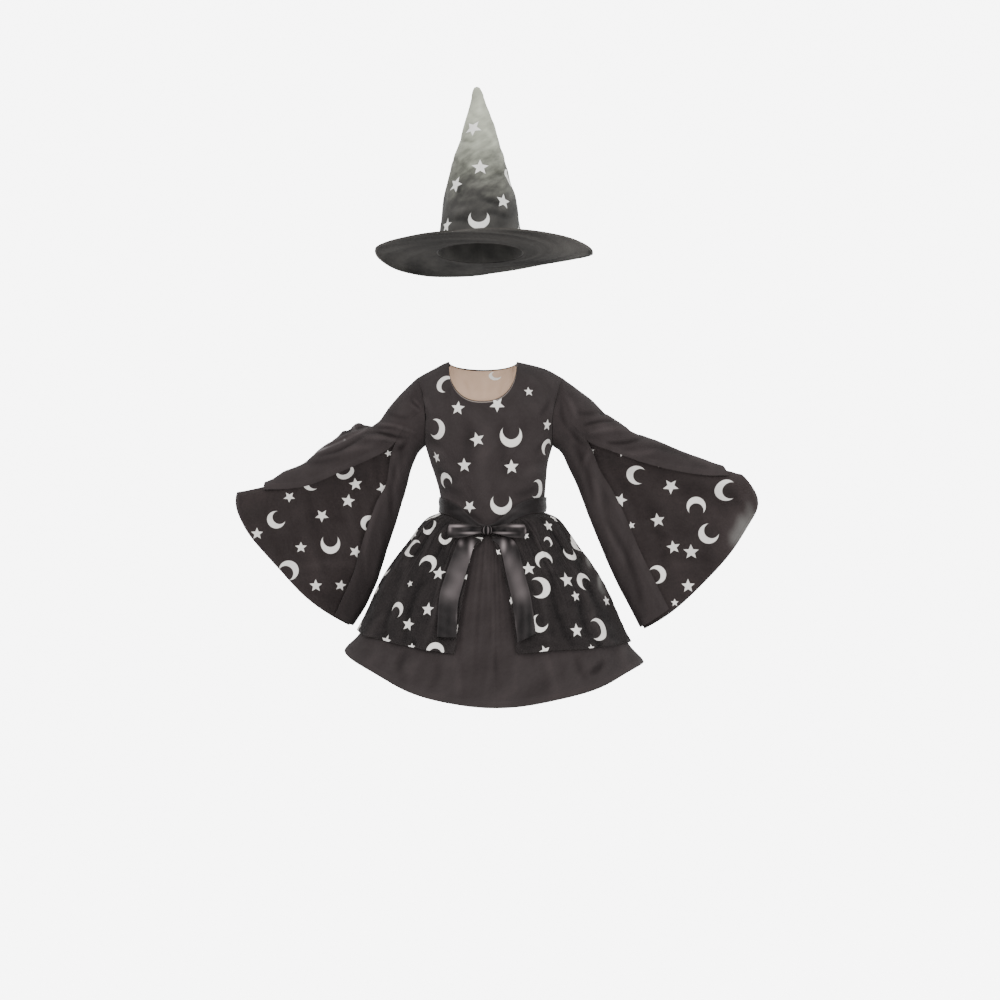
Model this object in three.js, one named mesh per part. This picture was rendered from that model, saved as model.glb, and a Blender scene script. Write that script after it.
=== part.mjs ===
// A child's witch costume: a dress with slit bell sleeves, a gathered overskirt and a bow, and a pointed hat.
// Millimetres, +Z up. The front faces -Y and the wearer's left side is +X.
// The origin is the middle of the neck opening at shoulder height, where the dress hangs from the shoulders.
import * as THREE from "three";
import { mergeVertices } from "three/addons/utils/BufferGeometryUtils.js";

// Wall thicknesses of the cloths
const knitWall = 1.6;
const meshWall = 1.2;
const satinWall = 1.4;
const feltWall = 2;

// Gaps where pieces meet
const seamGap = 0.3;
const waistGap = 0.8;
const layerGap = 0.5;

// Neck and yoke
const neckMiddle = -2;
const neckHalfWidth = 61;
const scoopDrop = 77;
const scoopPower = 2.4;
const backNeckDrop = 10;
const collarHalfWidth = 57;
const collarDepth = 47;
const collarTop = -4;
const collarDrop = 17;
const yokeRound = 3;

// Shoulders and waist
const shoulderRound = 90;
const tipHeight = -29;
const armpitHeight = -151;
const waistHeight = -271;
const sashHeight = -243;
const knotX = 6;
const seamDip = 38;
const sashDip = 49;
const dipReach = 46;

// Skirts
const hemSideRight = -515;
const hemSideLeft = -538;
const hemFront = -598;
const hemBack = -592;
const overskirtShare = { front: 0.73, side: 0.87 };
const underTuck = 10;
const foldCount = 9;
const foldDepth = 7;
const gatherCount = 20;
const gatherDepth = 4;

// Sleeves
const sleeveFolds = 1.9;
const sleeveFoldDepth = 9;
const meshInset = 6.5;
const apexSplit = 0.004;
const armForward = 1.4;
const bunchPlace = 0.9;
const bunchReach = 0.8;

// Bow
const knotSize = { x: 10, y: 6, z: 8 };
const loopLength = 58;
const loopHalf = 12;
const loopTuck = 0.3;
const loopRest = 4;
const loopForward = 21;
const loopFull = { knot: 2.4, middle: 5.5 };
const loopPinch = 6;
const loopRounding = 4;
const loopDroop = 2;
const tailOff = 1.3;
const tailCurl = 0.8;
const sashCurve = 1.2;

// Hat
const brimHeight = 196;
const brimHalf = 196;
const brimTilt = 0.0437;
const brimTwist = 20;
const headStretch = 1.14;
const brimClear = 0.7;
const brimWave = 2;
const tipDepth = 11;
const hatApex = { x: -13, z: 496 };

// The trunk from top to bottom: half width, depth in front and behind, and the middle of its width
const trunkRows = [
  { height: 20, half: 148, front: 80, back: 78, middle: 4 },
  { height: -29, half: 144, front: 84, back: 82, middle: 8 },
  { height: -60, half: 134, front: 87, back: 84, middle: 9 },
  { height: -95, half: 130, front: 90, back: 86, middle: 9 },
  { height: -131, half: 121, front: 92, back: 86, middle: 9 },
  { height: -151, half: 114, front: 92, back: 85, middle: 9 },
  { height: -182, half: 105, front: 90, back: 83, middle: 9.5 },
  { height: -212, half: 98.4, front: 86, back: 80, middle: 13 },
  { height: -243, half: 93.6, front: 82, back: 77, middle: 15.5 },
  { height: -272, half: 93.6, front: 81, back: 77, middle: 15.5 },
  { height: -320, half: 98, front: 85, back: 82, middle: 14 },
];

// The two armhole edges, from the shoulder tip to the armpit
const armholeRows = [
  { height: -29, right: -119, left: 140 },
  { height: -59, right: -109, left: 131 },
  { height: -95, right: -103, left: 122 },
  { height: -131, right: -104, left: 121 },
  { height: -151, right: -105, left: 123 },
];

// The shoulder line seen from the front
const shoulderRows = [
  { across: -151, height: -59 },
  { across: -130, height: -39 },
  { across: -119, height: -29 },
  { across: -92, height: -14 },
  { across: -63, height: 0 },
  { across: 0, height: 12 },
  { across: 59, height: 0 },
  { across: 110, height: -13 },
  { across: 140, height: -29 },
  { across: 170, height: -48 },
];

// The skirt from waist to hem: how far it has spread and dropped by each share of its length
const flareRows = [
  { along: 0, spread: 0, drop: 0 },
  { along: 0.08, spread: 0.12, drop: 0.047 },
  { along: 0.21, spread: 0.27, drop: 0.167 },
  { along: 0.35, spread: 0.43, drop: 0.302 },
  { along: 0.47, spread: 0.55, drop: 0.42 },
  { along: 0.59, spread: 0.66, drop: 0.555 },
  { along: 0.73, spread: 0.77, drop: 0.706 },
  { along: 0.88, spread: 0.9, drop: 0.871 },
  { along: 1, spread: 1, drop: 1 },
];
const hemSpread = { right: 172, left: 174, front: 104, back: 110 };

// How far the overskirt stands off the underskirt
const standOffRows = [
  { along: 0, off: 3 },
  { along: 0.06, off: 6.5 },
  { along: 0.2, off: 8.5 },
  { along: 0.5, off: 9.5 },
  { along: 1, off: 9.5 },
];

// The front opening of the overskirt: its edges each side of the knot
const openingRows = [
  { along: 0, right: -5, left: 6 },
  { along: 0.15, right: -25, left: 17 },
  { along: 0.4, right: -38, left: 36 },
  { along: 0.75, right: -57, left: 53 },
];

// The bow's tails on the skirt
const tailRows = {
  right: [
    { along: 0.05, across: -10, half: 7 },
    { along: 0.1, across: -29, half: 12 },
    { along: 0.19, across: -41, half: 14.5 },
    { along: 0.36, across: -56, half: 15.5 },
    { along: 0.48, across: -63, half: 16 },
    { along: 0.66, across: -66, half: 16 },
  ],
  left: [
    { along: 0.055, across: 21, half: 7 },
    { along: 0.1, across: 40, half: 10 },
    { along: 0.17, across: 50, half: 14 },
    { along: 0.3, across: 58, half: 15.5 },
    { along: 0.46, across: 67, half: 16 },
    { along: 0.66, across: 73, half: 16 },
  ],
};

// Each sleeve from the armhole to the hem: the arm line and the low edge, seen from the front
const sleevePath = {
  right: [
    { at: 0, topX: -119, topZ: -29, lowX: -105, lowZ: -151, lowY: 0 },
    { at: 1, topX: -151, topZ: -59, lowX: -113, lowZ: -157, lowY: 0 },
    { at: 2, topX: -173, topZ: -86, lowX: -122, lowZ: -170, lowY: 1 },
    { at: 3, topX: -195, topZ: -113, lowX: -132, lowZ: -194, lowY: 3 },
    { at: 4, topX: -241, topZ: -137, lowX: -144, lowZ: -239, lowY: 8 },
    { at: 5, topX: -286, topZ: -158, lowX: -157, lowZ: -280, lowY: 14 },
    { at: 6, topX: -324, topZ: -182, lowX: -175, lowZ: -336, lowY: 24 },
    { at: 7, topX: -356, topZ: -197, lowX: -199, lowZ: -404, lowY: 36 },
    { at: 8, topX: -392, topZ: -217, lowX: -222, lowZ: -450, lowY: 44 },
    { at: 9, topX: -446, topZ: -230, lowX: -245, lowZ: -483, lowY: 50 },
  ],
  left: [
    { at: 0, topX: 140, topZ: -29, lowX: 123, lowZ: -151, lowY: 0 },
    { at: 1, topX: 190, topZ: -66, lowX: 133, lowZ: -157, lowY: 0 },
    { at: 2, topX: 214, topZ: -89, lowX: 141, lowZ: -166, lowY: 1 },
    { at: 3, topX: 239, topZ: -106, lowX: 149, lowZ: -181, lowY: 3 },
    { at: 4, topX: 280, topZ: -131, lowX: 167, lowZ: -220, lowY: 5 },
    { at: 5, topX: 313, topZ: -143, lowX: 187, lowZ: -272, lowY: 8 },
    { at: 6, topX: 353, topZ: -160, lowX: 209, lowZ: -326, lowY: 10 },
    { at: 7, topX: 392, topZ: -175, lowX: 232, lowZ: -380, lowY: 12 },
    { at: 8, topX: 428, topZ: -187, lowX: 258, lowZ: -431, lowY: 14 },
    { at: 9, topX: 466, topZ: -198, lowX: 287, lowZ: -486, lowY: 15 },
  ],
};

// How far each section bows out towards the hand, how far it bunches above the arm, and the slit's edges
const sleeveCut = {
  right: [
    { at: 0, bow: 0, bunch: 0, flap: 0.5, strip: 0.5 },
    { at: 1, bow: 0, bunch: 0, flap: 0.5, strip: 0.5 },
    { at: 2, bow: 0, bunch: 0, flap: 0.5, strip: 0.5 },
    { at: 3, bow: 0, bunch: 4, flap: 0.49, strip: 0.53 },
    { at: 4, bow: 4, bunch: 24, flap: 0.37, strip: 0.72 },
    { at: 5, bow: 9, bunch: 14, flap: 0.28, strip: 0.75 },
    { at: 6, bow: 14, bunch: 0, flap: 0.19, strip: 0.78 },
    { at: 7, bow: 20, bunch: 0, flap: 0.11, strip: 0.83 },
    { at: 8, bow: 27, bunch: 0, flap: 0.035, strip: 0.86 },
    { at: 9, bow: 32, bunch: 0, flap: 0.03, strip: 0.9 },
  ],
  left: [
    { at: 0, bow: 0, bunch: 0, flap: 0.55, strip: 0.55 },
    { at: 1, bow: 0, bunch: 0, flap: 0.55, strip: 0.55 },
    { at: 2, bow: 0, bunch: 0, flap: 0.55, strip: 0.55 },
    { at: 3, bow: 0, bunch: 0, flap: 0.54, strip: 0.57 },
    { at: 4, bow: 2, bunch: 3, flap: 0.37, strip: 0.66 },
    { at: 5, bow: 5, bunch: 0, flap: 0.27, strip: 0.67 },
    { at: 6, bow: 11, bunch: 0, flap: 0.17, strip: 0.71 },
    { at: 7, bow: 20, bunch: 0, flap: 0.09, strip: 0.76 },
    { at: 8, bow: 34, bunch: 0, flap: 0.035, strip: 0.8 },
    { at: 9, bow: 58, bunch: 0, flap: 0.03, strip: 0.84 },
  ],
};

// The roundness of the sleeve's sections at the arm and at the low edge
const sleeveRound = [
  { at: 0, arm: 46, low: 42 },
  { at: 1, arm: 43, low: 34 },
  { at: 2, arm: 41, low: 25 },
  { at: 3, arm: 38, low: 18 },
  { at: 4, arm: 35, low: 14 },
  { at: 5, arm: 33, low: 12 },
  { at: 6, arm: 31, low: 11 },
  { at: 7, arm: 28, low: 11 },
  { at: 8, arm: 26, low: 11 },
  { at: 9, arm: 23, low: 11 },
];
const bowPeak = { right: 0.4, left: 0.22 };

// The hat's cone above the brim
const coneRows = [
  { height: 196, middle: -7, half: 77.5 },
  { height: 234, middle: -7, half: 72.6 },
  { height: 293, middle: -7.5, half: 64 },
  { height: 315, middle: -8.5, half: 58.9 },
  { height: 336, middle: -9.5, half: 53.7 },
  { height: 363, middle: -9.5, half: 46.7 },
  { height: 401, middle: -8.5, half: 34 },
  { height: 442, middle: -9.5, half: 22.5 },
  { height: 478, middle: -12, half: 10.5 },
];

const blackKnit = { color: 0x1b1817, roughness: 0.85, metalness: 0 };
const printedMesh = { color: 0x151212, roughness: 0.8, metalness: 0 };
const nudeMesh = { color: 0xb09a85, roughness: 0.8, metalness: 0 };
const darkSatin = { color: 0x1d1a1a, roughness: 0.4, metalness: 0 };
const greyFelt = { color: 0x4a4a47, roughness: 0.7, metalness: 0 };

const { lerp, clamp, smoothstep } = THREE.MathUtils;
const quarter = Math.PI / 2;
const costume = new THREE.Group();

// Reads one column of a table at a place along its key column, on a smooth curve through the rows.
function column(rows, key, name, at) {
  const turned = rows[0][key] > rows[rows.length - 1][key] ? [...rows].reverse() : rows;
  const last = turned.length - 1;
  const place = clamp(at, turned[0][key], turned[last][key]);
  let i = 0;
  while (i < last - 1 && turned[i + 1][key] < place) i += 1;
  const slope = (j) => {
    const before = turned[Math.max(0, j - 1)];
    const after = turned[Math.min(last, j + 1)];
    return (after[name] - before[name]) / (after[key] - before[key]);
  };
  const a = turned[i];
  const b = turned[i + 1];
  const span = b[key] - a[key];
  const t = (place - a[key]) / span;
  const bend = (slope(i) * (1 - t) - slope(i + 1) * t) * span;
  const straight = lerp(a[name], b[name], t);
  return straight + t * (1 - t) * (bend - (b[name] - a[name]) * (1 - 2 * t));
}

// A list of evenly spaced numbers.
function steps(from, to, count) {
  return Array.from({ length: count + 1 }, (_, i) => lerp(from, to, i / count));
}

// A mesh from its triangles, each a list of three points. Triangles with no area are left out.
function addMesh(name, look, triangles) {
  const flat = triangles.flat().flatMap((p) => [p.x, p.y, p.z]);
  const loose = new THREE.BufferGeometry();
  loose.setAttribute("position", new THREE.Float32BufferAttribute(flat, 3));
  const merged = mergeVertices(loose, 1e-3);
  const kept = [];
  const index = merged.index.array;
  for (let i = 0; i < index.length; i += 3) {
    const [a, b, c] = [index[i], index[i + 1], index[i + 2]];
    if (a !== b && b !== c && c !== a) kept.push(a, b, c);
  }
  merged.setIndex(kept);
  merged.computeVertexNormals();
  const mesh = new THREE.Mesh(merged, new THREE.MeshStandardMaterial(look));
  mesh.name = name;
  costume.add(mesh);
  return mesh;
}

// The outward direction of a grid of points at one of them, from its neighbours.
function facing(grid, i, j, wraps) {
  const columns = grid.length;
  const rows = grid[0].length;
  const left = wraps ? (i + columns - 1) % columns : Math.max(0, i - 1);
  const right = wraps ? (i + 1) % columns : Math.min(columns - 1, i + 1);
  const across = grid[right][j].clone().sub(grid[left][j]);
  const along = grid[i][Math.min(rows - 1, j + 1)].clone().sub(grid[i][Math.max(0, j - 1)]);
  return across.cross(along).normalize();
}

// A cloth wall on a grid of points, grid[column][row]. Columns run round and rows run along, and the
// face that looks out is the one from which columns run to the right when rows run up.
function clothWall(name, look, grid, { wall, wraps = false, flatEdge = false, tip = null }) {
  const columns = grid.length;
  const rows = grid[0].length;
  const outer = [];
  const inner = [];
  grid.forEach((line, i) => {
    const normals = line.map((point, j) => {
      const n = facing(grid, i, j, wraps);
      if (flatEdge && Math.abs(point.y) < 1) n.setY(0).normalize();
      return n;
    });
    outer.push(line.map((point, j) => point.clone().addScaledVector(normals[j], wall / 2)));
    inner.push(line.map((point, j) => point.clone().addScaledVector(normals[j], -wall / 2)));
  });
  const triangles = [];
  const quad = (a, b, c, d) => triangles.push([a, b, c], [a, c, d]);
  const spans = wraps ? columns : columns - 1;
  for (let i = 0; i < spans; i += 1) {
    const k = (i + 1) % columns;
    for (let j = 0; j < rows - 1; j += 1) {
      quad(outer[i][j], outer[k][j], outer[k][j + 1], outer[i][j + 1]);
      quad(inner[k][j], inner[i][j], inner[i][j + 1], inner[k][j + 1]);
    }
    quad(inner[i][0], inner[k][0], outer[k][0], outer[i][0]);
    const top = rows - 1;
    if (tip) {
      triangles.push([outer[i][top], outer[k][top], tip.outer]);
      triangles.push([inner[k][top], inner[i][top], tip.inner]);
    } else {
      quad(outer[i][top], outer[k][top], inner[k][top], inner[i][top]);
    }
  }
  if (!wraps) {
    const end = columns - 1;
    for (let j = 0; j < rows - 1; j += 1) {
      quad(inner[0][j], outer[0][j], outer[0][j + 1], inner[0][j + 1]);
      quad(outer[end][j], inner[end][j], inner[end][j + 1], outer[end][j + 1]);
    }
  }
  return addMesh(name, look, triangles);
}

// Trunk
const trunk = (name, height) => column(trunkRows, "height", name, height);
const shoulder = (across) => column(shoulderRows, "across", "height", across);

// How far an edge at the waist dips in front, from nothing at the side seams to its depth at the knot.
function dip(across, depth) {
  const share = (across - trunk("middle", waistHeight)) / trunk("half", waistHeight);
  const inside = Math.min(1, 3 * Math.sqrt(Math.max(0, 1 - share * share)));
  return depth * inside * Math.exp(-(((across - knotX) / dipReach) ** 2));
}

// How far the trunk's surface lies in front of or behind the middle at a place seen from the front.
function trunkDepth(x, z, side) {
  const share = (x - trunk("middle", z)) / trunk("half", z);
  const below = clamp((shoulder(x) - z) / shoulderRound, 0, 1);
  const rounding = Math.sqrt(1 - (1 - below) ** 2);
  return side * trunk(side < 0 ? "front" : "back", z) * Math.sqrt(Math.max(0, 1 - share * share)) * rounding;
}

// The side edge of the bodice: the side seam, then the armhole.
function sideEdge(side, z) {
  if (z > armpitHeight) return column(armholeRows, "height", side, z);
  return trunk("middle", z) + (side === "left" ? 1 : -1) * trunk("half", z);
}

// The scoop of the front neck at an angle from one neck point round to the other.
function scoopPoint(angle) {
  const across = Math.cos(angle);
  const x = neckMiddle - neckHalfWidth * Math.sign(across) * Math.abs(across) ** (2 / scoopPower);
  const z = -scoopDrop * Math.sin(angle) ** (2 / scoopPower);
  return { x, z };
}

// The angle at a share of the way round the neck. Steps are smaller near the neck points, where it turns.
function neckAngle(share) {
  const near = Math.min(share, 1 - share);
  const angle = quarter * (2 * near) ** 1.7;
  return share > 0.5 ? Math.PI - angle : angle;
}

// The top edge of a bodice panel, from one shoulder tip over the neck to the other.
const shoulderSteps = 5;
const neckSteps = 14;
const panelSteps = 2 * shoulderSteps + neckSteps;
function topEdge(i, side) {
  const neckRight = neckMiddle - neckHalfWidth;
  const neckLeft = neckMiddle + neckHalfWidth;
  const onShoulder = (x) => ({ x, z: shoulder(x) });
  if (i <= shoulderSteps) return onShoulder(lerp(sideEdge("right", tipHeight), neckRight, i / shoulderSteps));
  const after = i - shoulderSteps - neckSteps;
  if (after >= 0) return onShoulder(lerp(neckLeft, sideEdge("left", tipHeight), after / shoulderSteps));
  const angle = neckAngle((i - shoulderSteps) / neckSteps);
  if (side < 0) return scoopPoint(angle);
  return { x: neckMiddle - neckHalfWidth * Math.cos(angle), z: -backNeckDrop * Math.sin(angle) };
}

// A bodice panel: side -1 is the front and side 1 is the back. Its rows lie closer where the shoulder rounds.
function bodiceGrid(side, rows) {
  const rightTip = sideEdge("right", tipHeight);
  const leftTip = sideEdge("left", tipHeight);
  return steps(0, panelSteps, panelSteps).map((i) => {
    const top = topEdge(i, side);
    const shareTop = (top.x - rightTip) / (leftTip - rightTip);
    const shareLow = (1 - Math.cos((Math.PI * i) / panelSteps)) / 2;
    return rows.map((up) => {
      const edgeZ = lerp(waistHeight, tipHeight, up);
      const right = sideEdge("right", edgeZ);
      const x = lerp(right, sideEdge("left", edgeZ), lerp(shareLow, shareTop, up));
      const low = waistHeight - (side < 0 ? dip(x, seamDip) : 0);
      const z = lerp(low, top.z, up);
      return new THREE.Vector3(x, trunkDepth(x, z, side) + (side * seamGap) / 2, z);
    });
  });
}

function addBodice() {
  const rows = [0, 0.14, 0.28, 0.42, 0.56, 0.69, 0.79, 0.87, 0.93, 0.97, 1];
  clothWall("bodice_front", blackKnit, bodiceGrid(-1, rows), { wall: knitWall, flatEdge: true });
  clothWall("bodice_back", blackKnit, bodiceGrid(1, rows).reverse(), { wall: knitWall, flatEdge: true });
}

// The yoke runs from just inside the scoop edge to the round neckline.
function addYoke() {
  const rows = 3;
  const grid = steps(0.04, 0.96, 16).map((share) => {
    const angle = Math.PI * share;
    const edge = scoopPoint(angle);
    const inset = (meshWall + knitWall) / 2;
    const low = new THREE.Vector3(edge.x + inset * Math.cos(angle), 0, edge.z + inset);
    low.y = trunkDepth(edge.x, edge.z, -1) + inset * Math.sin(angle);
    const neck = new THREE.Vector3();
    neck.x = neckMiddle - collarHalfWidth * Math.cos(angle);
    neck.y = -collarDepth * Math.sin(angle) ** 0.8;
    neck.z = collarTop - collarDrop * Math.sin(angle);
    return steps(0, 1, rows).map((up) => {
      const point = low.clone().lerp(neck, up);
      point.y -= yokeRound * Math.sin(Math.PI * up) * Math.sin(angle);
      return point;
    });
  });
  clothWall("yoke_front", nudeMesh, grid, { wall: meshWall });
}

// Skirts
// A point of the underskirt at an angle from the middle of the front, positive towards the wearer's left.
function skirtPoint(angle, along, lift = 0) {
  const across = Math.sin(angle);
  const facingOut = Math.cos(angle);
  const spread = column(flareRows, "along", "spread", along);
  const drop = column(flareRows, "along", "drop", along);
  const wide = across < 0 ? hemSpread.right : hemSpread.left;
  const deep = facingOut > 0 ? hemSpread.front : hemSpread.back;
  const fold = foldDepth * along ** 1.5 * Math.sin(foldCount * angle + 0.9 * Math.sin(2 * angle) + 0.6);
  const out = lift + fold * 0.5;
  const half = trunk("half", waistHeight) + wide * spread + out;
  const waistX = trunk("middle", waistHeight) + trunk("half", waistHeight) * across;
  const top = waistHeight - (facingOut > 0 ? dip(waistX, seamDip) : 0);
  const depth = trunk(facingOut > 0 ? "front" : "back", top);
  const x = trunk("middle", waistHeight) + half * across;
  const y = -(depth + deep * spread + out) * facingOut;
  const sideHem = across < 0 ? hemSideRight : hemSideLeft;
  const hem = lerp(sideHem, facingOut > 0 ? hemFront : hemBack, facingOut ** 2);
  return new THREE.Vector3(x, y, lerp(top - waistGap, hem, drop));
}

const seamTurn = 0.0015;
const overskirtHem = (angle) => lerp(overskirtShare.front, overskirtShare.side, Math.sin(angle) ** 2);

function addUnderskirt() {
  const columns = 24;
  const alongs = [1, 0.82, 0.62, 0.42, 0.22, 0.08, 0];
  const narrowed = (angle, along) => {
    const open = smoothstep(along, overskirtHem(angle) + 0.02, 1);
    return skirtPoint(angle, along, -underTuck * smoothstep(along, 0, 0.3) * (1 - open));
  };
  const sheet = (from, to) =>
    steps(from, to, columns).map((angle) => alongs.map((along) => narrowed(angle, along)));
  const front = sheet(-quarter + seamTurn, quarter - seamTurn);
  const back = sheet(quarter + seamTurn, 3 * quarter - seamTurn);
  clothWall("underskirt_front", blackKnit, front, { wall: knitWall });
  clothWall("underskirt_back", blackKnit, back, { wall: knitWall });
}

// The overskirt is made from the underskirt's points, moved out by its stand-off and its gathers.
function overskirtLift(angle, along) {
  const off = column(standOffRows, "along", "off", along);
  const growth = smoothstep(along, 0.02, 0.25);
  const beat = Math.sin(gatherCount * angle + 1.3 * Math.sin(3 * angle + 0.5));
  const uneven = 0.75 + 0.25 * Math.sin(5 * angle + 1.1);
  const inset = -underTuck * smoothstep(along, 0, 0.3);
  return inset + off + gatherDepth * growth * (1 + beat * uneven) * 0.5;
}

function overskirtPoint(angle, along, lift = 0) {
  return skirtPoint(angle, along, overskirtLift(angle, along) + lift);
}

// The angle round the skirt of a place seen from the front.
function angleOf(across, along) {
  const spread = column(flareRows, "along", "spread", along);
  const middle = trunk("middle", waistHeight);
  const wide = across < middle ? hemSpread.right : hemSpread.left;
  return Math.asin(clamp((across - middle) / (trunk("half", waistHeight) + wide * spread), -1, 1));
}

function addOverskirt() {
  const shares = [1, 0.84, 0.66, 0.47, 0.29, 0.15, 0.05, 0];
  const openingEdge = (side, along) => {
    const across = knotX + column(openingRows, "along", side, along);
    return angleOf(across, along);
  };
  const front = (side) => {
    const outerEdge = side === "left" ? quarter - seamTurn : -quarter + seamTurn;
    const turns = side === "left" ? steps(0, 1, 22) : steps(1, 0, 22);
    return turns.map((turn) =>
      shares.map((share) => {
        const hem = overskirtHem(lerp(openingEdge(side, overskirtShare.front), outerEdge, turn));
        const along = share * hem;
        return overskirtPoint(lerp(openingEdge(side, along), outerEdge, turn), along);
      }),
    );
  };
  const back = steps(quarter + seamTurn, 3 * quarter - seamTurn, 44).map((angle) =>
    shares.map((share) => overskirtPoint(angle, share * overskirtHem(angle))),
  );
  clothWall("overskirt_right", printedMesh, front("right"), { wall: meshWall });
  clothWall("overskirt_left", printedMesh, front("left"), { wall: meshWall });
  clothWall("overskirt_back", printedMesh, back, { wall: meshWall });
}

// The sash lies on the lowest part of the bodice and narrows to the knot.
function sashPoint(angle, up) {
  const x = trunk("middle", waistHeight) + trunk("half", waistHeight) * Math.sin(angle);
  const inFront = Math.cos(angle) > 0;
  const low = waistHeight + 2 * layerGap - (inFront ? dip(x, seamDip) : 0);
  const high = sashHeight - (inFront ? dip(x, sashDip) : 0);
  const z = lerp(low, high, up);
  const lift = (knitWall + satinWall) / 2 + 2.5 * layerGap + sashCurve * Math.sin(Math.PI * up);
  const half = trunk("half", z) + lift;
  const depth = trunk(inFront ? "front" : "back", z) + lift;
  return new THREE.Vector3(trunk("middle", z) + half * Math.sin(angle), -depth * Math.cos(angle), z);
}

function addSash() {
  const turns = 48;
  const grid = steps(0, turns - 1, turns - 1).map((i) =>
    steps(0, 1, 3).map((up) => sashPoint((2 * Math.PI * i) / turns - Math.PI, up)),
  );
  clothWall("sash", darkSatin, grid, { wall: satinWall, wraps: true });
}

// Bow
const knotMiddle = (() => {
  const behind = sashPoint(angleOf(knotX, 0), 0.5);
  return new THREE.Vector3(knotX, behind.y - satinWall / 2 - knotSize.y - layerGap, behind.z - 1);
})();

function addKnot() {
  const ball = new THREE.SphereGeometry(1, 14, 10);
  const place = ball.getAttribute("position");
  const corners = [];
  for (let i = 0; i < ball.index.count; i += 1) {
    const p = new THREE.Vector3().fromBufferAttribute(place, ball.index.getX(i));
    const square = (value, size) => Math.sign(value) * Math.abs(value) ** 0.8 * size;
    const corner = [square(p.x, knotSize.x), square(p.y, knotSize.y), square(p.z, knotSize.z)];
    corners.push(new THREE.Vector3(...corner));
  }
  const triangles = [];
  for (let i = 0; i < corners.length; i += 3) {
    triangles.push(corners.slice(i, i + 3).map((p) => p.add(knotMiddle)));
  }
  addMesh("bow_knot", darkSatin, triangles);
}

// A loop of ribbon: a closed band that leaves the knot, turns and comes back, pinched at the knot.
function addLoop(name, way) {
  const turns = 22;
  const grid = steps(0, turns - 1, turns - 1).map((i) => {
    const angle = (-way * 2 * Math.PI * i) / turns;
    const out = (1 - Math.cos(angle)) / 2;
    const fullness = Math.sin(Math.PI * Math.min(1, out * 0.8 + 0.1));
    const x = knotMiddle.x + way * (knotSize.x - loopTuck + loopLength * out);
    const thick = lerp(loopFull.knot, loopFull.middle, fullness);
    const y = knotMiddle.y - loopRest + Math.sin(angle) * thick - loopForward * out;
    return steps(-1, 1, 4).map((up) => {
      const half = lerp(loopPinch, loopHalf, smoothstep(out, 0, 0.6));
      const z = knotMiddle.z + 1 + half * up - loopDroop * out ** 2;
      return new THREE.Vector3(x - way * loopRounding * out * up * up, y, z);
    });
  });
  clothWall(name, darkSatin, grid, { wall: satinWall, wraps: true });
}

// A tail lies on the crests of the overskirt, made from its points.
function addTail(name, rows) {
  const downs = steps(rows[rows.length - 1].along, rows[0].along, 11);
  const grid = steps(-1, 1, 4).map((share) =>
    downs.map((along) => {
      const across = column(rows, "along", "across", along) + share * column(rows, "along", "half", along);
      const angle = angleOf(across, along);
      const gathers = gatherDepth * smoothstep(along, 0.02, 0.25) - underTuck * smoothstep(along, 0, 0.3);
      const crest = column(standOffRows, "along", "off", along) + gathers;
      const lift = crest + (meshWall + satinWall) / 2 + tailOff + tailCurl * Math.cos(Math.PI * share);
      return skirtPoint(angle, along, lift);
    }),
  );
  clothWall(name, darkSatin, grid, { wall: satinWall });
}

// Sleeves
const sleeveEnd = 9;
const outerEnd = 8.85;
const flapEnd = 8;

// A point of a sleeve: at is the place from armhole to hem, down runs from the arm line to the low edge,
// and face is -1 in front and 1 behind. The inset moves the point inside the sleeve.
function sleevePoint(side, at, down, face, inset = 0) {
  const path = (name) => column(sleevePath[side], "at", name, at);
  const cut = (name) => column(sleeveCut[side], "at", name, at);
  const top = new THREE.Vector2(path("topX"), path("topZ"));
  const low = new THREE.Vector2(path("lowX"), path("lowZ"));
  const way = low.clone().sub(top);
  const full = way.length();
  way.divideScalar(full);
  const hand = side === "left" ? new THREE.Vector2(-way.y, way.x) : new THREE.Vector2(way.y, -way.x);
  const length = full - 2 * inset;
  const walked = length * down;
  const round = column(sleeveRound, "at", "arm", at) - inset;
  const lowRound = Math.max(3, column(sleeveRound, "at", "low", at) - inset);
  let half = round;
  if (walked < round) half = Math.sqrt(round ** 2 - (round - walked) ** 2);
  half = lerp(half, lowRound, smoothstep(walked, round, Math.min(3 * round, length * 0.85)));
  const left = length - walked;
  if (left < lowRound) half *= Math.sqrt(Math.max(0, 1 - (1 - left / lowRound) ** 2));
  const peak = bowPeak[side];
  const bowShape = down < peak ? 1 - ((peak - down) / peak) ** 4 : 1 - ((down - peak) / (1 - peak)) ** 2.4;
  const place = top.clone().addScaledVector(way, inset + walked).addScaledVector(hand, cut("bow") * bowShape);
  const growth = (at / sleeveEnd) ** 1.5 * smoothstep(down, 0.05, 0.4);
  const phase = side === "left" ? 0.4 : 2;
  const wave = sleeveFoldDepth * growth * Math.sin(2 * Math.PI * sleeveFolds * down + phase);
  const behind = face * down * 10;
  const bunch = cut("bunch") * Math.exp(-(((behind - bunchPlace) / bunchReach) ** 2));
  const armY = -armForward * at;
  const y = lerp(armY, path("lowY"), down) + face * half + wave;
  return new THREE.Vector3(place.x, y, place.y + bunch);
}

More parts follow.
